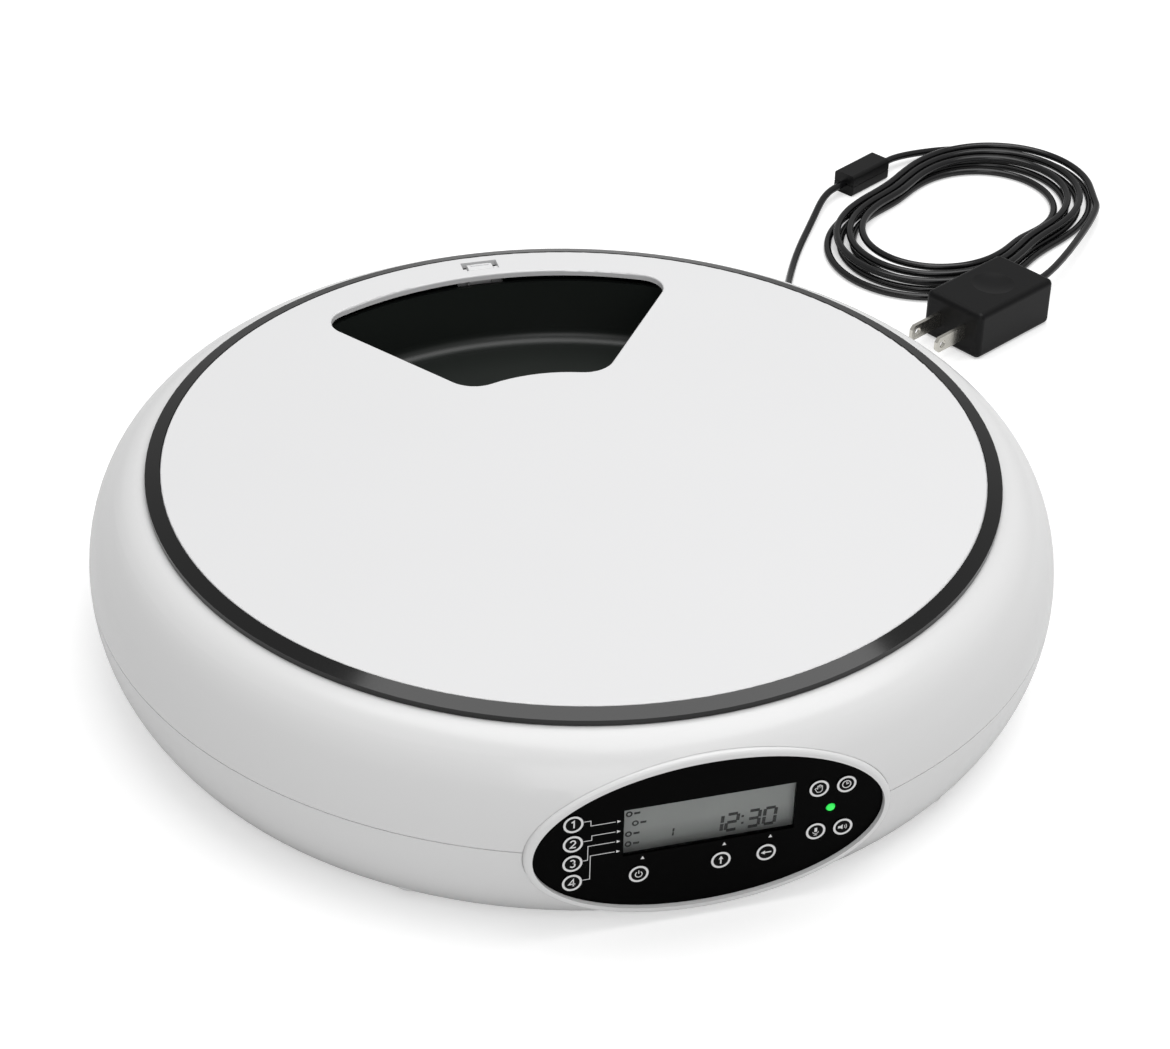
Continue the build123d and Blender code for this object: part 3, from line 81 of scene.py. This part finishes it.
def new_group(name, inputs, outputs):
    """Empty shader node group with named sockets; returns its tree, its inputs and its output node."""
    tree = bpy.data.node_groups.new(name, "ShaderNodeTree")
    for label, default in inputs.items():
        kind = "NodeSocketColor" if isinstance(default, tuple) else "NodeSocketFloat"
        tree.interface.new_socket(label, in_out="INPUT", socket_type=kind).default_value = default
    for label, kind in outputs.items():
        tree.interface.new_socket(label, in_out="OUTPUT", socket_type=kind)
    return tree, tree.nodes.new("NodeGroupInput").outputs, tree.nodes.new("NodeGroupOutput")


def drift(tree, noise, base, spread):
    """A base value moved up and down by a noise around its middle."""
    centred = add_node(tree, "ShaderNodeMath", {0: noise, 1: 0.5}, operation="SUBTRACT").outputs[0]
    moved = add_node(tree, "ShaderNodeMath", {0: centred, 1: spread, 2: base}, operation="MULTIPLY_ADD")
    return moved.outputs[0]


moulded_skin, given, out = new_group(
    "moulded_skin",
    {"Colour": (0.8, 0.8, 0.8, 1.0), "Tone": 0.03, "Roughness": 0.3, "Spread": 0.05, "Grain": 900.0},
    {"Colour": "NodeSocketColor", "Roughness": "NodeSocketFloat", "Height": "NodeSocketFloat"},
)
where = add_node(moulded_skin, "ShaderNodeTexCoord").outputs["Object"]
flow = add_node(moulded_skin, "ShaderNodeTexNoise",
                {"Vector": where, "Scale": FLOW_SCALE, "Detail": 3.0}).outputs[0]
tone = drift(moulded_skin, flow, 1.0, given["Tone"])
tinted = add_node(moulded_skin, "ShaderNodeVectorMath",
                  {0: given["Colour"], "Scale": tone}, operation="SCALE")
moulded_skin.links.new(tinted.outputs[0], out.inputs["Colour"])
gloss = drift(moulded_skin, flow, given["Roughness"], given["Spread"])
moulded_skin.links.new(gloss, out.inputs["Roughness"])
grain = add_node(moulded_skin, "ShaderNodeTexNoise",
                 {"Vector": where, "Scale": given["Grain"], "Detail": 2.0})
moulded_skin.links.new(grain.outputs[0], out.inputs["Height"])


def moulded(name, colour, roughness, tone=0.03, spread=0.06, grain=900.0, depth=0.00001, **shader):
    """Finish of a moulded piece: colour and roughness drift slowly and a fine grain lifts the surface."""
    made = bpy.data.materials.new(name)
    made.use_nodes = True
    tree = made.node_tree
    bsdf = tree.nodes["Principled BSDF"]
    skin = tree.nodes.new("ShaderNodeGroup")
    skin.node_tree = moulded_skin
    for label, value in zip(("Colour", "Tone", "Roughness", "Spread", "Grain"),
                            ((*colour, 1.0), tone, roughness, spread, grain)):
        skin.inputs[label].default_value = value
    bump = add_node(tree, "ShaderNodeBump",
                    {"Height": skin.outputs["Height"], "Strength": 0.6, "Distance": depth})
    tree.links.new(skin.outputs["Colour"], bsdf.inputs["Base Color"])
    tree.links.new(skin.outputs["Roughness"], bsdf.inputs["Roughness"])
    tree.links.new(bump.outputs["Normal"], bsdf.inputs["Normal"])
    for label, value in shader.items():
        bsdf.inputs[label.replace("_", " ")].default_value = value
    return made


def dress(finish, *names):
    """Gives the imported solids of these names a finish."""
    for name in names:
        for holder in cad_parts[name].material_slots:
            holder.material = finish


body_white = moulded("body_white", (0.80, 0.80, 0.80), 0.24, tone=0.015, grain=420.0, depth=0.000012)
dress(body_white, "base_shell", "upper_shell", "panel_bezel", "battery_door")

# Feet and the screws of the body
# Soft rubber pads are let into the underside; zinc-plated screws sit deep in the posts of the base.
foot_rubber = moulded("foot_rubber", (0.045, 0.045, 0.047), 0.7, spread=0.2, grain=1600.0, depth=0.00004)
dress(foot_rubber, "rubber_feet")

drawn_metal, given, out = new_group(
    "drawn_metal",
    {"Roughness": 0.3, "Spread": 0.2, "Lines": 900.0},
    {"Roughness": "NodeSocketFloat", "Height": "NodeSocketFloat"},
)
where = add_node(drawn_metal, "ShaderNodeTexCoord").outputs["Object"]
flat = add_node(drawn_metal, "ShaderNodeVectorMath",
                {0: where, 1: (1.0, 1.0, 0.06)}, operation="MULTIPLY").outputs[0]
lines = add_node(drawn_metal, "ShaderNodeTexNoise",
                 {"Vector": flat, "Scale": given["Lines"], "Detail": 3.0}).outputs[0]
drawn_metal.links.new(drift(drawn_metal, lines, given["Roughness"], given["Spread"]), out.inputs["Roughness"])
drawn_metal.links.new(lines, out.inputs["Height"])


def metal(name, colour, roughness, spread=0.2, lines=900.0, depth=0.00001):
    """Finish of a metal piece: fine drawing lines in roughness and height."""
    made = bpy.data.materials.new(name)
    made.use_nodes = True
    tree = made.node_tree
    bsdf = tree.nodes["Principled BSDF"]
    bsdf.inputs["Base Color"].default_value = (*colour, 1.0)
    bsdf.inputs["Metallic"].default_value = 1.0
    skin = tree.nodes.new("ShaderNodeGroup")
    skin.node_tree = drawn_metal
    for label, value in zip(("Roughness", "Spread", "Lines"), (roughness, spread, lines)):
        skin.inputs[label].default_value = value
    bump = add_node(tree, "ShaderNodeBump",
                    {"Height": skin.outputs["Height"], "Strength": 0.4, "Distance": depth})
    tree.links.new(skin.outputs["Roughness"], bsdf.inputs["Roughness"])
    tree.links.new(bump.outputs["Normal"], bsdf.inputs["Normal"])
    return made


plated_steel = metal("plated_steel", (0.62, 0.62, 0.60), 0.32)
dress(plated_steel, "housing_screws")

# Drive under the well
# A small can motor stands in a cup of the base under a steel bracket; acetal gears carry its turning to the
# spindle, which runs in a sintered bronze bush.
dress(plated_steel, "gear_motor", "drive_bracket", "bracket_screws", "idler_pin")
dress(metal("bush_bronze", (0.50, 0.33, 0.16), 0.45, lines=2000.0), "spindle_bush")
acetal = moulded("acetal", (0.80, 0.78, 0.70), 0.42, grain=1200.0)
dress(acetal, "drive_spindle", "output_gear", "idler_gear", "motor_pinion")

# Tray
# A dark turning plate carries five food-safe bowls, thin wedge-shaped mouldings that lift out for washing.
tray_dark = moulded("tray_dark", (0.013, 0.016, 0.014), 0.34, tone=0.2, spread=0.12, grain=700.0,
                    depth=0.00002)
dress(tray_dark, "tray_plate", *(f"meal_bowl_{place}" for place in range(1, 6)))

# Lid, its ring and its latch
# A flat satin plate with one food opening, framed by a polished black ring; a sprung tab in a small window
# at the back frees it.
lid_satin = moulded("lid_satin", (0.80, 0.80, 0.805), 0.42, tone=0.012, grain=1500.0, depth=0.000008)
dress(lid_satin, "lid_plate", "lid_latch")
ring_black = moulded("ring_black", (0.003, 0.003, 0.003), 0.1, tone=0.2, spread=0.05, grain=300.0,
                     depth=0.000004)
dress(ring_black, "lid_rim")
dress(plated_steel, "latch_pin")

# Control panel's face
# A black oval plate with white screen-printed marks, clipped into the white frame from the front.
# Marks are rings and signs on the keys, and lines that lead from the meal keys to the display's rows.
SEAT_Y, PANEL_Z = 148.8, 31.9       # the panel's seat in front of the axis, and its middle above the floor
FACE, KEY_TOP = 2.0, 2.4            # fronts of the face and of the keys, from the seat
INK = 0.03                          # half the thickness of a print
fascia_black = moulded("fascia_black", (0.0006, 0.0006, 0.0006), 0.3, tone=0.3, spread=0.08, grain=500.0,
                       depth=0.000004, Specular_IOR_Level=0.03)
dress(fascia_black, "panel_fascia")
print_white = moulded("print_white", (0.82, 0.82, 0.82), 0.5, grain=4000.0)


def stroke(path, width, level, closed=False):
    """Band of ink: a rectangle carried along a path in the panel's plane and mitred at its corners.

    It lies half sunk in a surface at a level, and its width may change along the path. Returns points in
    metres and faces.
    """
    back, front = level - INK, level + INK
    path = np.asarray(path, float)
    before, after = np.roll(path, 1, 0), np.roll(path, -1, 0)
    if not closed:
        before[0] = 2 * path[0] - path[1]
        after[-1] = 2 * path[-1] - path[-2]
    way_in = (path - before) / np.linalg.norm(path - before, axis=1, keepdims=True)
    way_out = (after - path) / np.linalg.norm(after - path, axis=1, keepdims=True)
    way = way_in + way_out
    way /= np.linalg.norm(way, axis=1, keepdims=True)
    mitre = 1 / np.maximum(0.5, np.sum(way * way_out, axis=1))
    aside = np.stack([-way[:, 1], way[:, 0]], 1) * (np.broadcast_to(width, len(path)) / 2 * mitre)[:, None]
    flat = np.stack([path + aside, path + aside, path - aside, path - aside], 1)
    depth = np.broadcast_to([back, front, front, back], flat.shape[:2])
    points = np.stack([flat[..., 0], -SEAT_Y - depth, PANEL_Z + flat[..., 1]], -1).reshape(-1, 3) * MM
    step = np.arange(len(path) if closed else len(path) - 1)
    nxt = (step + 1) % len(path)
    side = np.arange(4)
    turn = (side + 1) % 4
    faces = np.stack([step[:, None] * 4 + side, nxt[:, None] * 4 + side,
                      nxt[:, None] * 4 + turn, step[:, None] * 4 + turn], -1).reshape(-1, 4)
    if not closed:
        last = (len(path) - 1) * 4
        faces = np.vstack([faces, [[0, 1, 2, 3], [last + 3, last + 2, last + 1, last]]])
    return points, faces


def arc(x, z, radius, start, end, steps=28):
    """Points of a circular arc, from one angle to another in degrees."""
    angle = np.radians(np.linspace(start, end, steps))
    return np.stack([x + radius * np.cos(angle), z + radius * np.sin(angle)], 1)


def circle(x, z, radius, steps=56):
    """Points of a closed circle."""
    return arc(x, z, radius, 0, 360 - 360 / steps, steps)


def new_piece(name, points, faces, finish, body):
    """Mesh object from points and faces, facing outwards, that rides on a body."""
    mesh = bpy.data.meshes.new(name)
    mesh.from_pydata(np.asarray(points).tolist(), [], [list(face) for face in faces])
    mesh.validate()
    mesh.materials.append(finish)
    piece = bpy.data.objects.new(name, mesh)
    bpy.context.scene.collection.objects.link(piece)
    bpy.context.view_layer.objects.active = piece
    piece.select_set(True)
    bpy.ops.object.mode_set(mode="EDIT")
    bpy.ops.mesh.select_all(action="SELECT")
    bpy.ops.mesh.normals_make_consistent(inside=False)
    bpy.ops.object.mode_set(mode="OBJECT")
    piece.select_set(False)
    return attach(piece, body)


def printed(name, strokes, finish, body):
    """One printed mark made of several strokes."""
    points, faces, count = [], [], 0
    for some_points, some_faces in strokes:
        points.append(some_points)
        faces.extend((some_faces + count).tolist())
        count += len(some_points)
    return new_piece(name, np.vstack(points), faces, finish, body)


MEAL_X, MEAL_TOP, MEAL_PITCH = -42.0, 11.0, 7.4
ROW_TOP, ROW_PITCH, POINTER_X = 9.1, 3.8, -28.6
LEAD_W, TIP_W = 0.22, 0.04
leads = []
for meal, bend_x in enumerate((-36.6, -36.2, -37.3, -36.5)):
    key_z, row_z = MEAL_TOP - MEAL_PITCH * meal, ROW_TOP - ROW_PITCH * meal
    route = [(MEAL_X + 3.3, key_z), (bend_x, key_z), (bend_x, row_z), (POINTER_X - 0.5, row_z)]
    leads.append(stroke(route, LEAD_W, FACE))
    leads.append(stroke([(POINTER_X, row_z), (POINTER_X + 1.1, row_z)], (1.1, TIP_W), FACE))
for x in (-20.4, 4.9, 19.3):
    leads.append(stroke([(x, -6.9), (x, -5.8)], (1.2, TIP_W), FACE))
printed("panel_prints", leads, print_white, "housing")

# Keys
# Eleven round satin-black caps stand just proud of the face; each carries a printed ring and a sign.
key_black = moulded("key_black", (0.0015, 0.0015, 0.0015), 0.36, tone=0.2, spread=0.1, grain=1500.0,
                    Specular_IOR_Level=0.06)
RING_R, RING_W = 2.7, 0.7
BOLD, FINE, HAIR = 0.46, 0.3, 0.2
signs = {
    "key_meal_1": [([(-0.55, 0.75), (0.2, 1.3), (0.2, -1.3)], BOLD, False)],
    "key_meal_2": [(np.vstack([arc(0, 0.55, 0.75, 165, -35, 14), [(-0.8, -1.28), (0.9, -1.28)]]),
                    BOLD, False)],
    "key_meal_3": [(arc(0, 0.62, 0.66, 150, -80, 14), BOLD, False),
                   (arc(0, -0.6, 0.74, 80, -150, 14), BOLD, False)],
    "key_meal_4": [([(0.42, -1.35), (0.42, 1.3), (-0.95, -0.55), (1.0, -0.55)], BOLD, False)],
    "key_power": [(arc(0, -0.1, 1.05, 125, 415), FINE, False), ([(0, 0.15), (0, 1.35)], FINE, False)],
    "key_hour": [([(0, -1.45), (0, 0.4)], BOLD, False), ([(0, 0.3), (0, 1.55)], (1.5, 0.05), False)],
    "key_minute": [([(1.6, 0), (-0.5, 0)], BOLD, False), ([(-0.4, 0), (-1.65, 0)], (1.5, 0.05), False)],
    "key_manual": [([(-0.55, -1.35), (-1.35, 0.0), (-1.0, 0.35), (-0.55, -0.1), (-0.55, 1.05), (-0.2, 1.05),
                     (-0.15, 0.2), (0.0, 1.35), (0.4, 1.35), (0.45, 0.2), (0.6, 1.0), (0.95, 0.95),
                     (0.95, -0.7), (0.5, -1.35)], HAIR, True)],
    "key_timer": [(circle(0, 0, 1.3, 40), FINE, True), ([(0, -0.1), (0, 0.95)], FINE, False),
                  ([(-0.1, 0), (0.75, 0.35)], FINE, False)],
    "key_record": [([(0, -0.2), (0, 1.3)], (0.95, 0.8), False), (arc(0, 0, 0.95, 190, 350, 14), HAIR, False),
                   ([(0, -0.9), (0, -1.4)], HAIR, False), ([(-0.55, -1.45), (0.55, -1.45)], HAIR, False)],
    "key_play": [([(-1.5, 0), (-0.85, 0)], 0.85, False), ([(-0.9, 0), (-0.05, 0)], (0.6, 1.9), False),
                 (arc(-0.1, 0, 0.75, -42, 42, 10), HAIR, False),
                 (arc(-0.1, 0, 1.3, -42, 42, 12), HAIR, False)],
}
for name, sign in signs.items():
    dress(key_black, name)
    low, high = (np.array(corner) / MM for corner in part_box(name))
    x, z = (low[0] + high[0]) / 2, (low[2] + high[2]) / 2 - PANEL_Z
    marks = [stroke(circle(x, z, RING_R), RING_W, KEY_TOP, True)]
    marks += [stroke(np.asarray(path) + (x, z), width, KEY_TOP, closed) for path, width, closed in sign]
    printed(name + "_print", marks, print_white, name)

# Display and indicator
# A grey liquid-crystal cell shows the time and the meals' rows behind a clear pane; a green lens stands
# beside it.
CELL_FRONT = -1.3                   # from the panel's seat
# heights of the cell's lower and upper edges, over which its painted reflection runs from dark to light
CELL_LOW, CELL_HIGH = 0.0272, 0.0446


def cell_with_painted_reflection():
    """Grey of an unlit cell with a painted reflection of the room: lighter at its upper edge and darker
    towards its lower edge.
    """
    made = moulded("display_cell", (0.2, 0.2, 0.2), 0.35, tone=0.05)
    tree = made.node_tree
    bsdf = tree.nodes["Principled BSDF"]
    where = add_node(tree, "ShaderNodeTexCoord").outputs["Object"]
    height = add_node(tree, "ShaderNodeSeparateXYZ", {0: where})
    share = add_node(tree, "ShaderNodeMapRange",
                     {"Value": height.outputs["Z"], "From Min": CELL_LOW, "From Max": CELL_HIGH})
    # Painted reflection: the base colour runs from dark grey at the lower edge to light grey at the upper
    # edge.
    ramp = add_node(tree, "ShaderNodeValToRGB", {0: share.outputs[0]})
    ramp.color_ramp.elements[0].color = (0.2, 0.204, 0.2, 1.0)
    ramp.color_ramp.elements[1].color = (0.6, 0.606, 0.6, 1.0)
    ramp.color_ramp.elements.new(0.45).color = (0.54, 0.546, 0.54, 1.0)
    tree.links.new(ramp.outputs[0], bsdf.inputs["Base Color"])
    return made


dress(cell_with_painted_reflection(), "lcd_module")
pane_clear = moulded("pane_clear", (0.95, 0.97, 0.96), 0.04, tone=0.0, spread=0.02, grain=200.0,
                     depth=0.000002, Transmission_Weight=1.0, IOR=1.35)
dress(pane_clear, "lcd_window")
segment_dark = moulded("segment_dark", (0.004, 0.004, 0.004), 0.5, grain=3000.0, Specular_IOR_Level=0.1)
SEGMENTS = {"a": ((0, 1), (1, 1)), "b": ((1, 0.5), (1, 1)), "c": ((1, 0), (1, 0.5)), "d": ((0, 0), (1, 0)),
            "e": ((0, 0), (0, 0.5)), "f": ((0, 0.5), (0, 1)), "g": ((0, 0.5), (1, 0.5))}
DIGITS = {"0": "abcdef", "1": "bc", "2": "abged", "3": "abgcd"}
BAR_GAP, LEAN = 0.2, 0.08           # gap at a bar's ends as a share of its width, and the digits' slope


def digit(sign, x, z, wide, high, width):
    """Strokes of a seven-bar digit, leaning a little, with a gap between its bars."""
    bars = []
    for name in DIGITS[sign]:
        start, end = (np.array(p) * (wide, high) for p in SEGMENTS[name])
        gap = (end - start) / np.linalg.norm(end - start) * width * BAR_GAP
        line = np.array([start + gap, end - gap])
        line[:, 0] += line[:, 1] * LEAN
        bars.append(stroke(line + (x, z), width, CELL_FRONT))
    return bars


COLON_X = 11.0
shown = []
for sign, x in zip("1230", (1.0, 5.8, 12.6, 17.6)):
    shown += digit(sign, x, -3.4, 3.4, 6.0, 1.1)
for z in (-1.5, 1.1):
    shown.append(stroke([(COLON_X, z - 0.4), (COLON_X, z + 0.4)], 0.8, CELL_FRONT))
for meal, x in enumerate((-24.3, -22.3, -24.3, -24.3)):
    row_z = ROW_TOP - ROW_PITCH * meal
    shown.append(stroke(circle(x, row_z, 0.8, 24), 0.55, CELL_FRONT, True))
    shown.append(stroke([(x + 1.5, row_z), (x + 3.4, row_z)], 0.8, CELL_FRONT))
shown += digit("1", -12.0, -2.0, 1.4, 3.0, 0.6)
printed("display_segments", shown, segment_dark, "housing")
lens_green = moulded("lens_green", (0.03, 0.75, 0.10), 0.2, Emission_Color=(0.02, 0.8, 0.08, 1.0),
                     Emission_Strength=0.5)
dress(lens_green, "led_lens")

# Board and what stands on it
# A green board behind the face carries a switch for every key, the display and the microphone; the speaker
# and the power socket are black.
board_green = moulded("board_green", (0.01, 0.10, 0.035), 0.35, tone=0.3, grain=2500.0)
component_black = moulded("component_black", (0.012, 0.012, 0.012), 0.5, tone=0.2)
dress(board_green, "control_board")
dress(component_black, "key_switches", "speaker", "power_jack")
dress(plated_steel, "board_screws", "microphone")

# Battery bay
# Plated spring steel contacts and coil springs take the cells; a door with one screw closes the bay.
dress(plated_steel, "battery_contacts", "battery_springs", "door_screw")

# Cord, its plug and its ferrite
# A thin black lead runs from a barrel plug at the back through a clamp-on ferrite into a loose coil and on to
# the wall adapter. It is one length of soft round cord.
cord_black = moulded("cord_black", (0.004, 0.004, 0.0045), 0.2, tone=0.2, spread=0.06, grain=1200.0,
                     depth=0.000004)
dress(cord_black, "dc_plug", "adapter_sleeve")
dress(moulded("ferrite_black", (0.003, 0.003, 0.0033), 0.4, tone=0.2, grain=900.0, depth=0.00003,
              Specular_IOR_Level=0.25),
      "ferrite_upper", "ferrite_lower")
CORD_D, CORD_AIR = 3.0, 0.2
STRAIGHT = 13.0                     # stretch of cord in line with a plug, ferrite or sleeve
PLUG_REACH, PLUG_Z = 187.776, 14.0  # end of the plug, from the axis and above the floor
FERRITE_Z, SLEEVE_Z, SLEEVE_REACH = 4.8, 10.0, 54.0


def heading(degrees):
    """Level direction."""
    return np.array([math.cos(math.radians(degrees)), math.sin(math.radians(degrees)), 0.0])


plug_way, ferrite_way, adapter_way = heading(51.0), heading(31.0), heading(28.0)
plug_end = plug_way * PLUG_REACH + (0, 0, PLUG_Z)
LIE_Z = CORD_D / 2 + CORD_AIR


def laid(x, y, up=0.0):
    """Point of the cord from the plug's end, raised above where it lies on the floor."""
    return plug_end[0] + x, plug_end[1] + y, LIE_Z + up


COIL_OUT, COIL_IN, COIL_OVAL, COIL_OVAL_DIR = 56.0, 40.0, 0.29, 36.6
COIL_TURNS, COIL_BACK, COIL_CLIMB, COIL_START, PER_TURN = 2220 / 360, 3.3, 0.2, 60.0, 24
COIL_LIFT, COIL_SHIFT = 3.7, (3.0, 2.0)


def coil_points():
    """Control points of the coil: an oval whose radius falls turn by turn to the middle and grows again.

    Where it turns back the cord climbs to an upper layer by a smooth step, and that layer lies a little
    aside. The spline cuts inside its control points, so the oval is drawn larger by that share.
    """
    turns = np.linspace(0, COIL_TURNS, round(COIL_TURNS * PER_TURN))
    past = turns - COIL_BACK
    share = np.clip((past + COIL_CLIMB) / (2 * COIL_CLIMB), 0, 1)
    level = share * share * (3 - 2 * share)
    away = np.where(np.abs(past) < COIL_CLIMB, past ** 2 / (2 * COIL_CLIMB) + COIL_CLIMB / 2, np.abs(past))
    angle = np.radians(COIL_START - 360 * turns)
    radius = COIL_IN + (COIL_OUT - COIL_IN) * away / (COIL_TURNS / 2)
    oval = 1 + COIL_OVAL * np.cos(2 * (angle - math.radians(COIL_OVAL_DIR)))
    radius *= oval / math.cos(math.pi / PER_TURN)
    middle = np.array(laid(116.0, 86.7))
    aside = np.stack([COIL_SHIFT[0] * level, COIL_SHIFT[1] * level, COIL_LIFT * level], 1)
    return middle + aside + np.stack([radius * np.cos(angle), radius * np.sin(angle), 0 * angle], 1)


FERRITE_HALF = 12.0
ferrite_mid = np.array(laid(89.6, 132.5)) * (1, 1, 0) + (0, 0, FERRITE_Z)
sleeve_end = np.array(laid(76.1, -5.2)) * (1, 1, 0) + (0, 0, SLEEVE_Z) + adapter_way * SLEEVE_REACH
coil = coil_points()
into_coil = (coil[1] - coil[0]) / np.linalg.norm(coil[1] - coil[0])
out_of_coil = (coil[-1] - coil[-2]) / np.linalg.norm(coil[-1] - coil[-2])
route = np.vstack([
    plug_end, plug_end + plug_way * STRAIGHT,
    laid(17.8, 26.6, 8.3), laid(29.6, 54.9, 1.3), laid(41.6, 78.9), laid(56.1, 101.4, 0.8),
    ferrite_mid - ferrite_way * (FERRITE_HALF + STRAIGHT), ferrite_mid - ferrite_way * FERRITE_HALF,
    ferrite_mid + ferrite_way * FERRITE_HALF, ferrite_mid + ferrite_way * (FERRITE_HALF + STRAIGHT),
    coil[0] - into_coil * STRAIGHT, coil, coil[-1] + out_of_coil * STRAIGHT,
    sleeve_end + adapter_way * 10.0, sleeve_end,
]) * MM
line = bpy.data.curves.new("power_cord", "CURVE")
line.dimensions = "3D"
line.bevel_depth = CORD_D / 2 * MM
line.bevel_resolution = 5
line.use_fill_caps = True
line.resolution_u = 6
spline = line.splines.new("NURBS")
spline.points.add(len(route) - 1)
spline.points.foreach_set("co", np.column_stack([route, np.ones(len(route))]).ravel())
spline.order_u = 3
spline.use_endpoint_u = True
line.materials.append(cord_black)
power_cord = bpy.data.objects.new("power_cord", line)
bpy.context.scene.collection.objects.link(power_cord)
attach(power_cord, "housing")
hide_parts("cord_lead", "cord_link", "cord_coil", "cord_tail")

# Wall adapter
# A small satin-black mains adapter with a thumb dimple lies on its side; its two blades are nickel plated.
dress(moulded("adapter_black", (0.003, 0.003, 0.0033), 0.42, tone=0.2, spread=0.1, grain=1500.0,
              depth=0.00003, Specular_IOR_Level=0.2),
      "adapter_case")
dress(metal("blade_nickel", (0.72, 0.70, 0.64), 0.22, lines=1500.0), "adapter_blades")

# Floor, light and camera
# A plain white floor under one wide soft light from above, with a weaker fill from the front.
FLOOR_HALF, FLOOR_LIFT = 4, 0.42    # half the floor's side, and its own brightness to the camera
ROOM_LIGHT, ROOM_SEEN = 0.4, 1.0    # the world as light, and as background
corners = [(x * FLOOR_HALF, y * FLOOR_HALF, 0) for x, y in ((-1, -1), (1, -1), (1, 1), (-1, 1))]
floor_mesh = bpy.data.meshes.new("floor")
floor_mesh.from_pydata(corners, [], [(0, 1, 2, 3)])
floor = bpy.data.objects.new("floor", floor_mesh)
bpy.context.scene.collection.objects.link(floor)
floor_white = bpy.data.materials.new("floor_white")
floor_white.use_nodes = True
tree = floor_white.node_tree
bsdf = tree.nodes["Principled BSDF"]
bsdf.inputs["Base Color"].default_value = (0.8, 0.8, 0.8, 1.0)
bsdf.inputs["Roughness"].default_value = 0.9
bsdf.inputs["Specular IOR Level"].default_value = 0.0
seen = add_node(tree, "ShaderNodeLightPath").outputs["Is Camera Ray"]
lift = add_node(tree, "ShaderNodeMath", {0: seen, 1: FLOOR_LIFT}, operation="MULTIPLY").outputs[0]
bsdf.inputs["Emission Color"].default_value = (1.0, 1.0, 1.0, 1.0)
tree.links.new(lift, bsdf.inputs["Emission Strength"])
floor_mesh.materials.append(floor_white)
floor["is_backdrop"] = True

world = bpy.data.worlds.new("studio")
bpy.context.scene.world = world
world.use_nodes = True
tree = world.node_tree
path = add_node(tree, "ShaderNodeLightPath")
either = add_node(tree, "ShaderNodeMath",
                  {0: path.outputs["Is Camera Ray"], 1: path.outputs["Is Transmission Ray"]},
                  operation="MAXIMUM").outputs[0]
strength = add_node(tree, "ShaderNodeMapRange",
                    {"Value": either, "To Min": ROOM_LIGHT, "To Max": ROOM_SEEN}).outputs[0]
tree.nodes["Background"].inputs["Color"].default_value = (1.0, 1.0, 1.0, 1.0)
tree.links.new(strength, tree.nodes["Background"].inputs["Strength"])


def soft_light(name, size, power):
    """Square soft box."""
    lamp = bpy.data.lights.new(name, "AREA")
    lamp.size = size
    lamp.energy = power
    made = bpy.data.objects.new(name, lamp)
    bpy.context.scene.collection.objects.link(made)
    return made


def look(piece, at, aim):
    """Stands a light or camera at a place, facing another."""
    piece.location = at
    piece.rotation_mode = "QUATERNION"
    piece.rotation_quaternion = (Vector(aim) - Vector(at)).to_track_quat("-Z", "Y")


for name, at, aim, size, power in (
    ("overhead_box", (0.25, 0.10, 1.4), (0.05, 0, 0), 1.4, 15.0),
    ("front_fill", (-0.3, -1.6, 0.9), (0, 0, 0.03), 0.9, 4.5),
):
    look(soft_light(name, size, power), at, aim)

AZIMUTH, ELEVATION, ROLL = math.radians(16.6), math.radians(34.4), math.radians(1.51)
DISTANCE, OFFSET, AIM_Z = 0.9781, 0.00401, 0.0408
SENSOR_MM, FOCAL_PX, PHOTO_PX = 36.0, 2931.0, 1170.0
target = Vector((OFFSET * math.cos(AZIMUTH), -OFFSET * math.sin(AZIMUTH), AIM_Z))
back = Vector((-math.sin(AZIMUTH) * math.cos(ELEVATION), -math.cos(AZIMUTH) * math.cos(ELEVATION),
               math.sin(ELEVATION)))
right = Vector((math.cos(AZIMUTH), -math.sin(AZIMUTH), 0.0))
above = back.cross(right)
turned_right = right * math.cos(ROLL) + above * math.sin(ROLL)
lens = bpy.data.cameras.new("camera")
lens.sensor_fit = "HORIZONTAL"
lens.sensor_width = SENSOR_MM
lens.lens = SENSOR_MM * FOCAL_PX / PHOTO_PX
camera = bpy.data.objects.new("camera", lens)
bpy.context.scene.collection.objects.link(camera)
frame_axes = Matrix((turned_right, back.cross(turned_right), back)).transposed()
camera.matrix_world = Matrix.Translation(target + back * DISTANCE) @ frame_axes.to_4x4()
bpy.context.scene.camera = camera
bpy.context.scene.view_settings.view_transform = "Standard"

size = {"cad": [list(corner) for corner in cad_box], "visual": [list(corner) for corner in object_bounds()]}
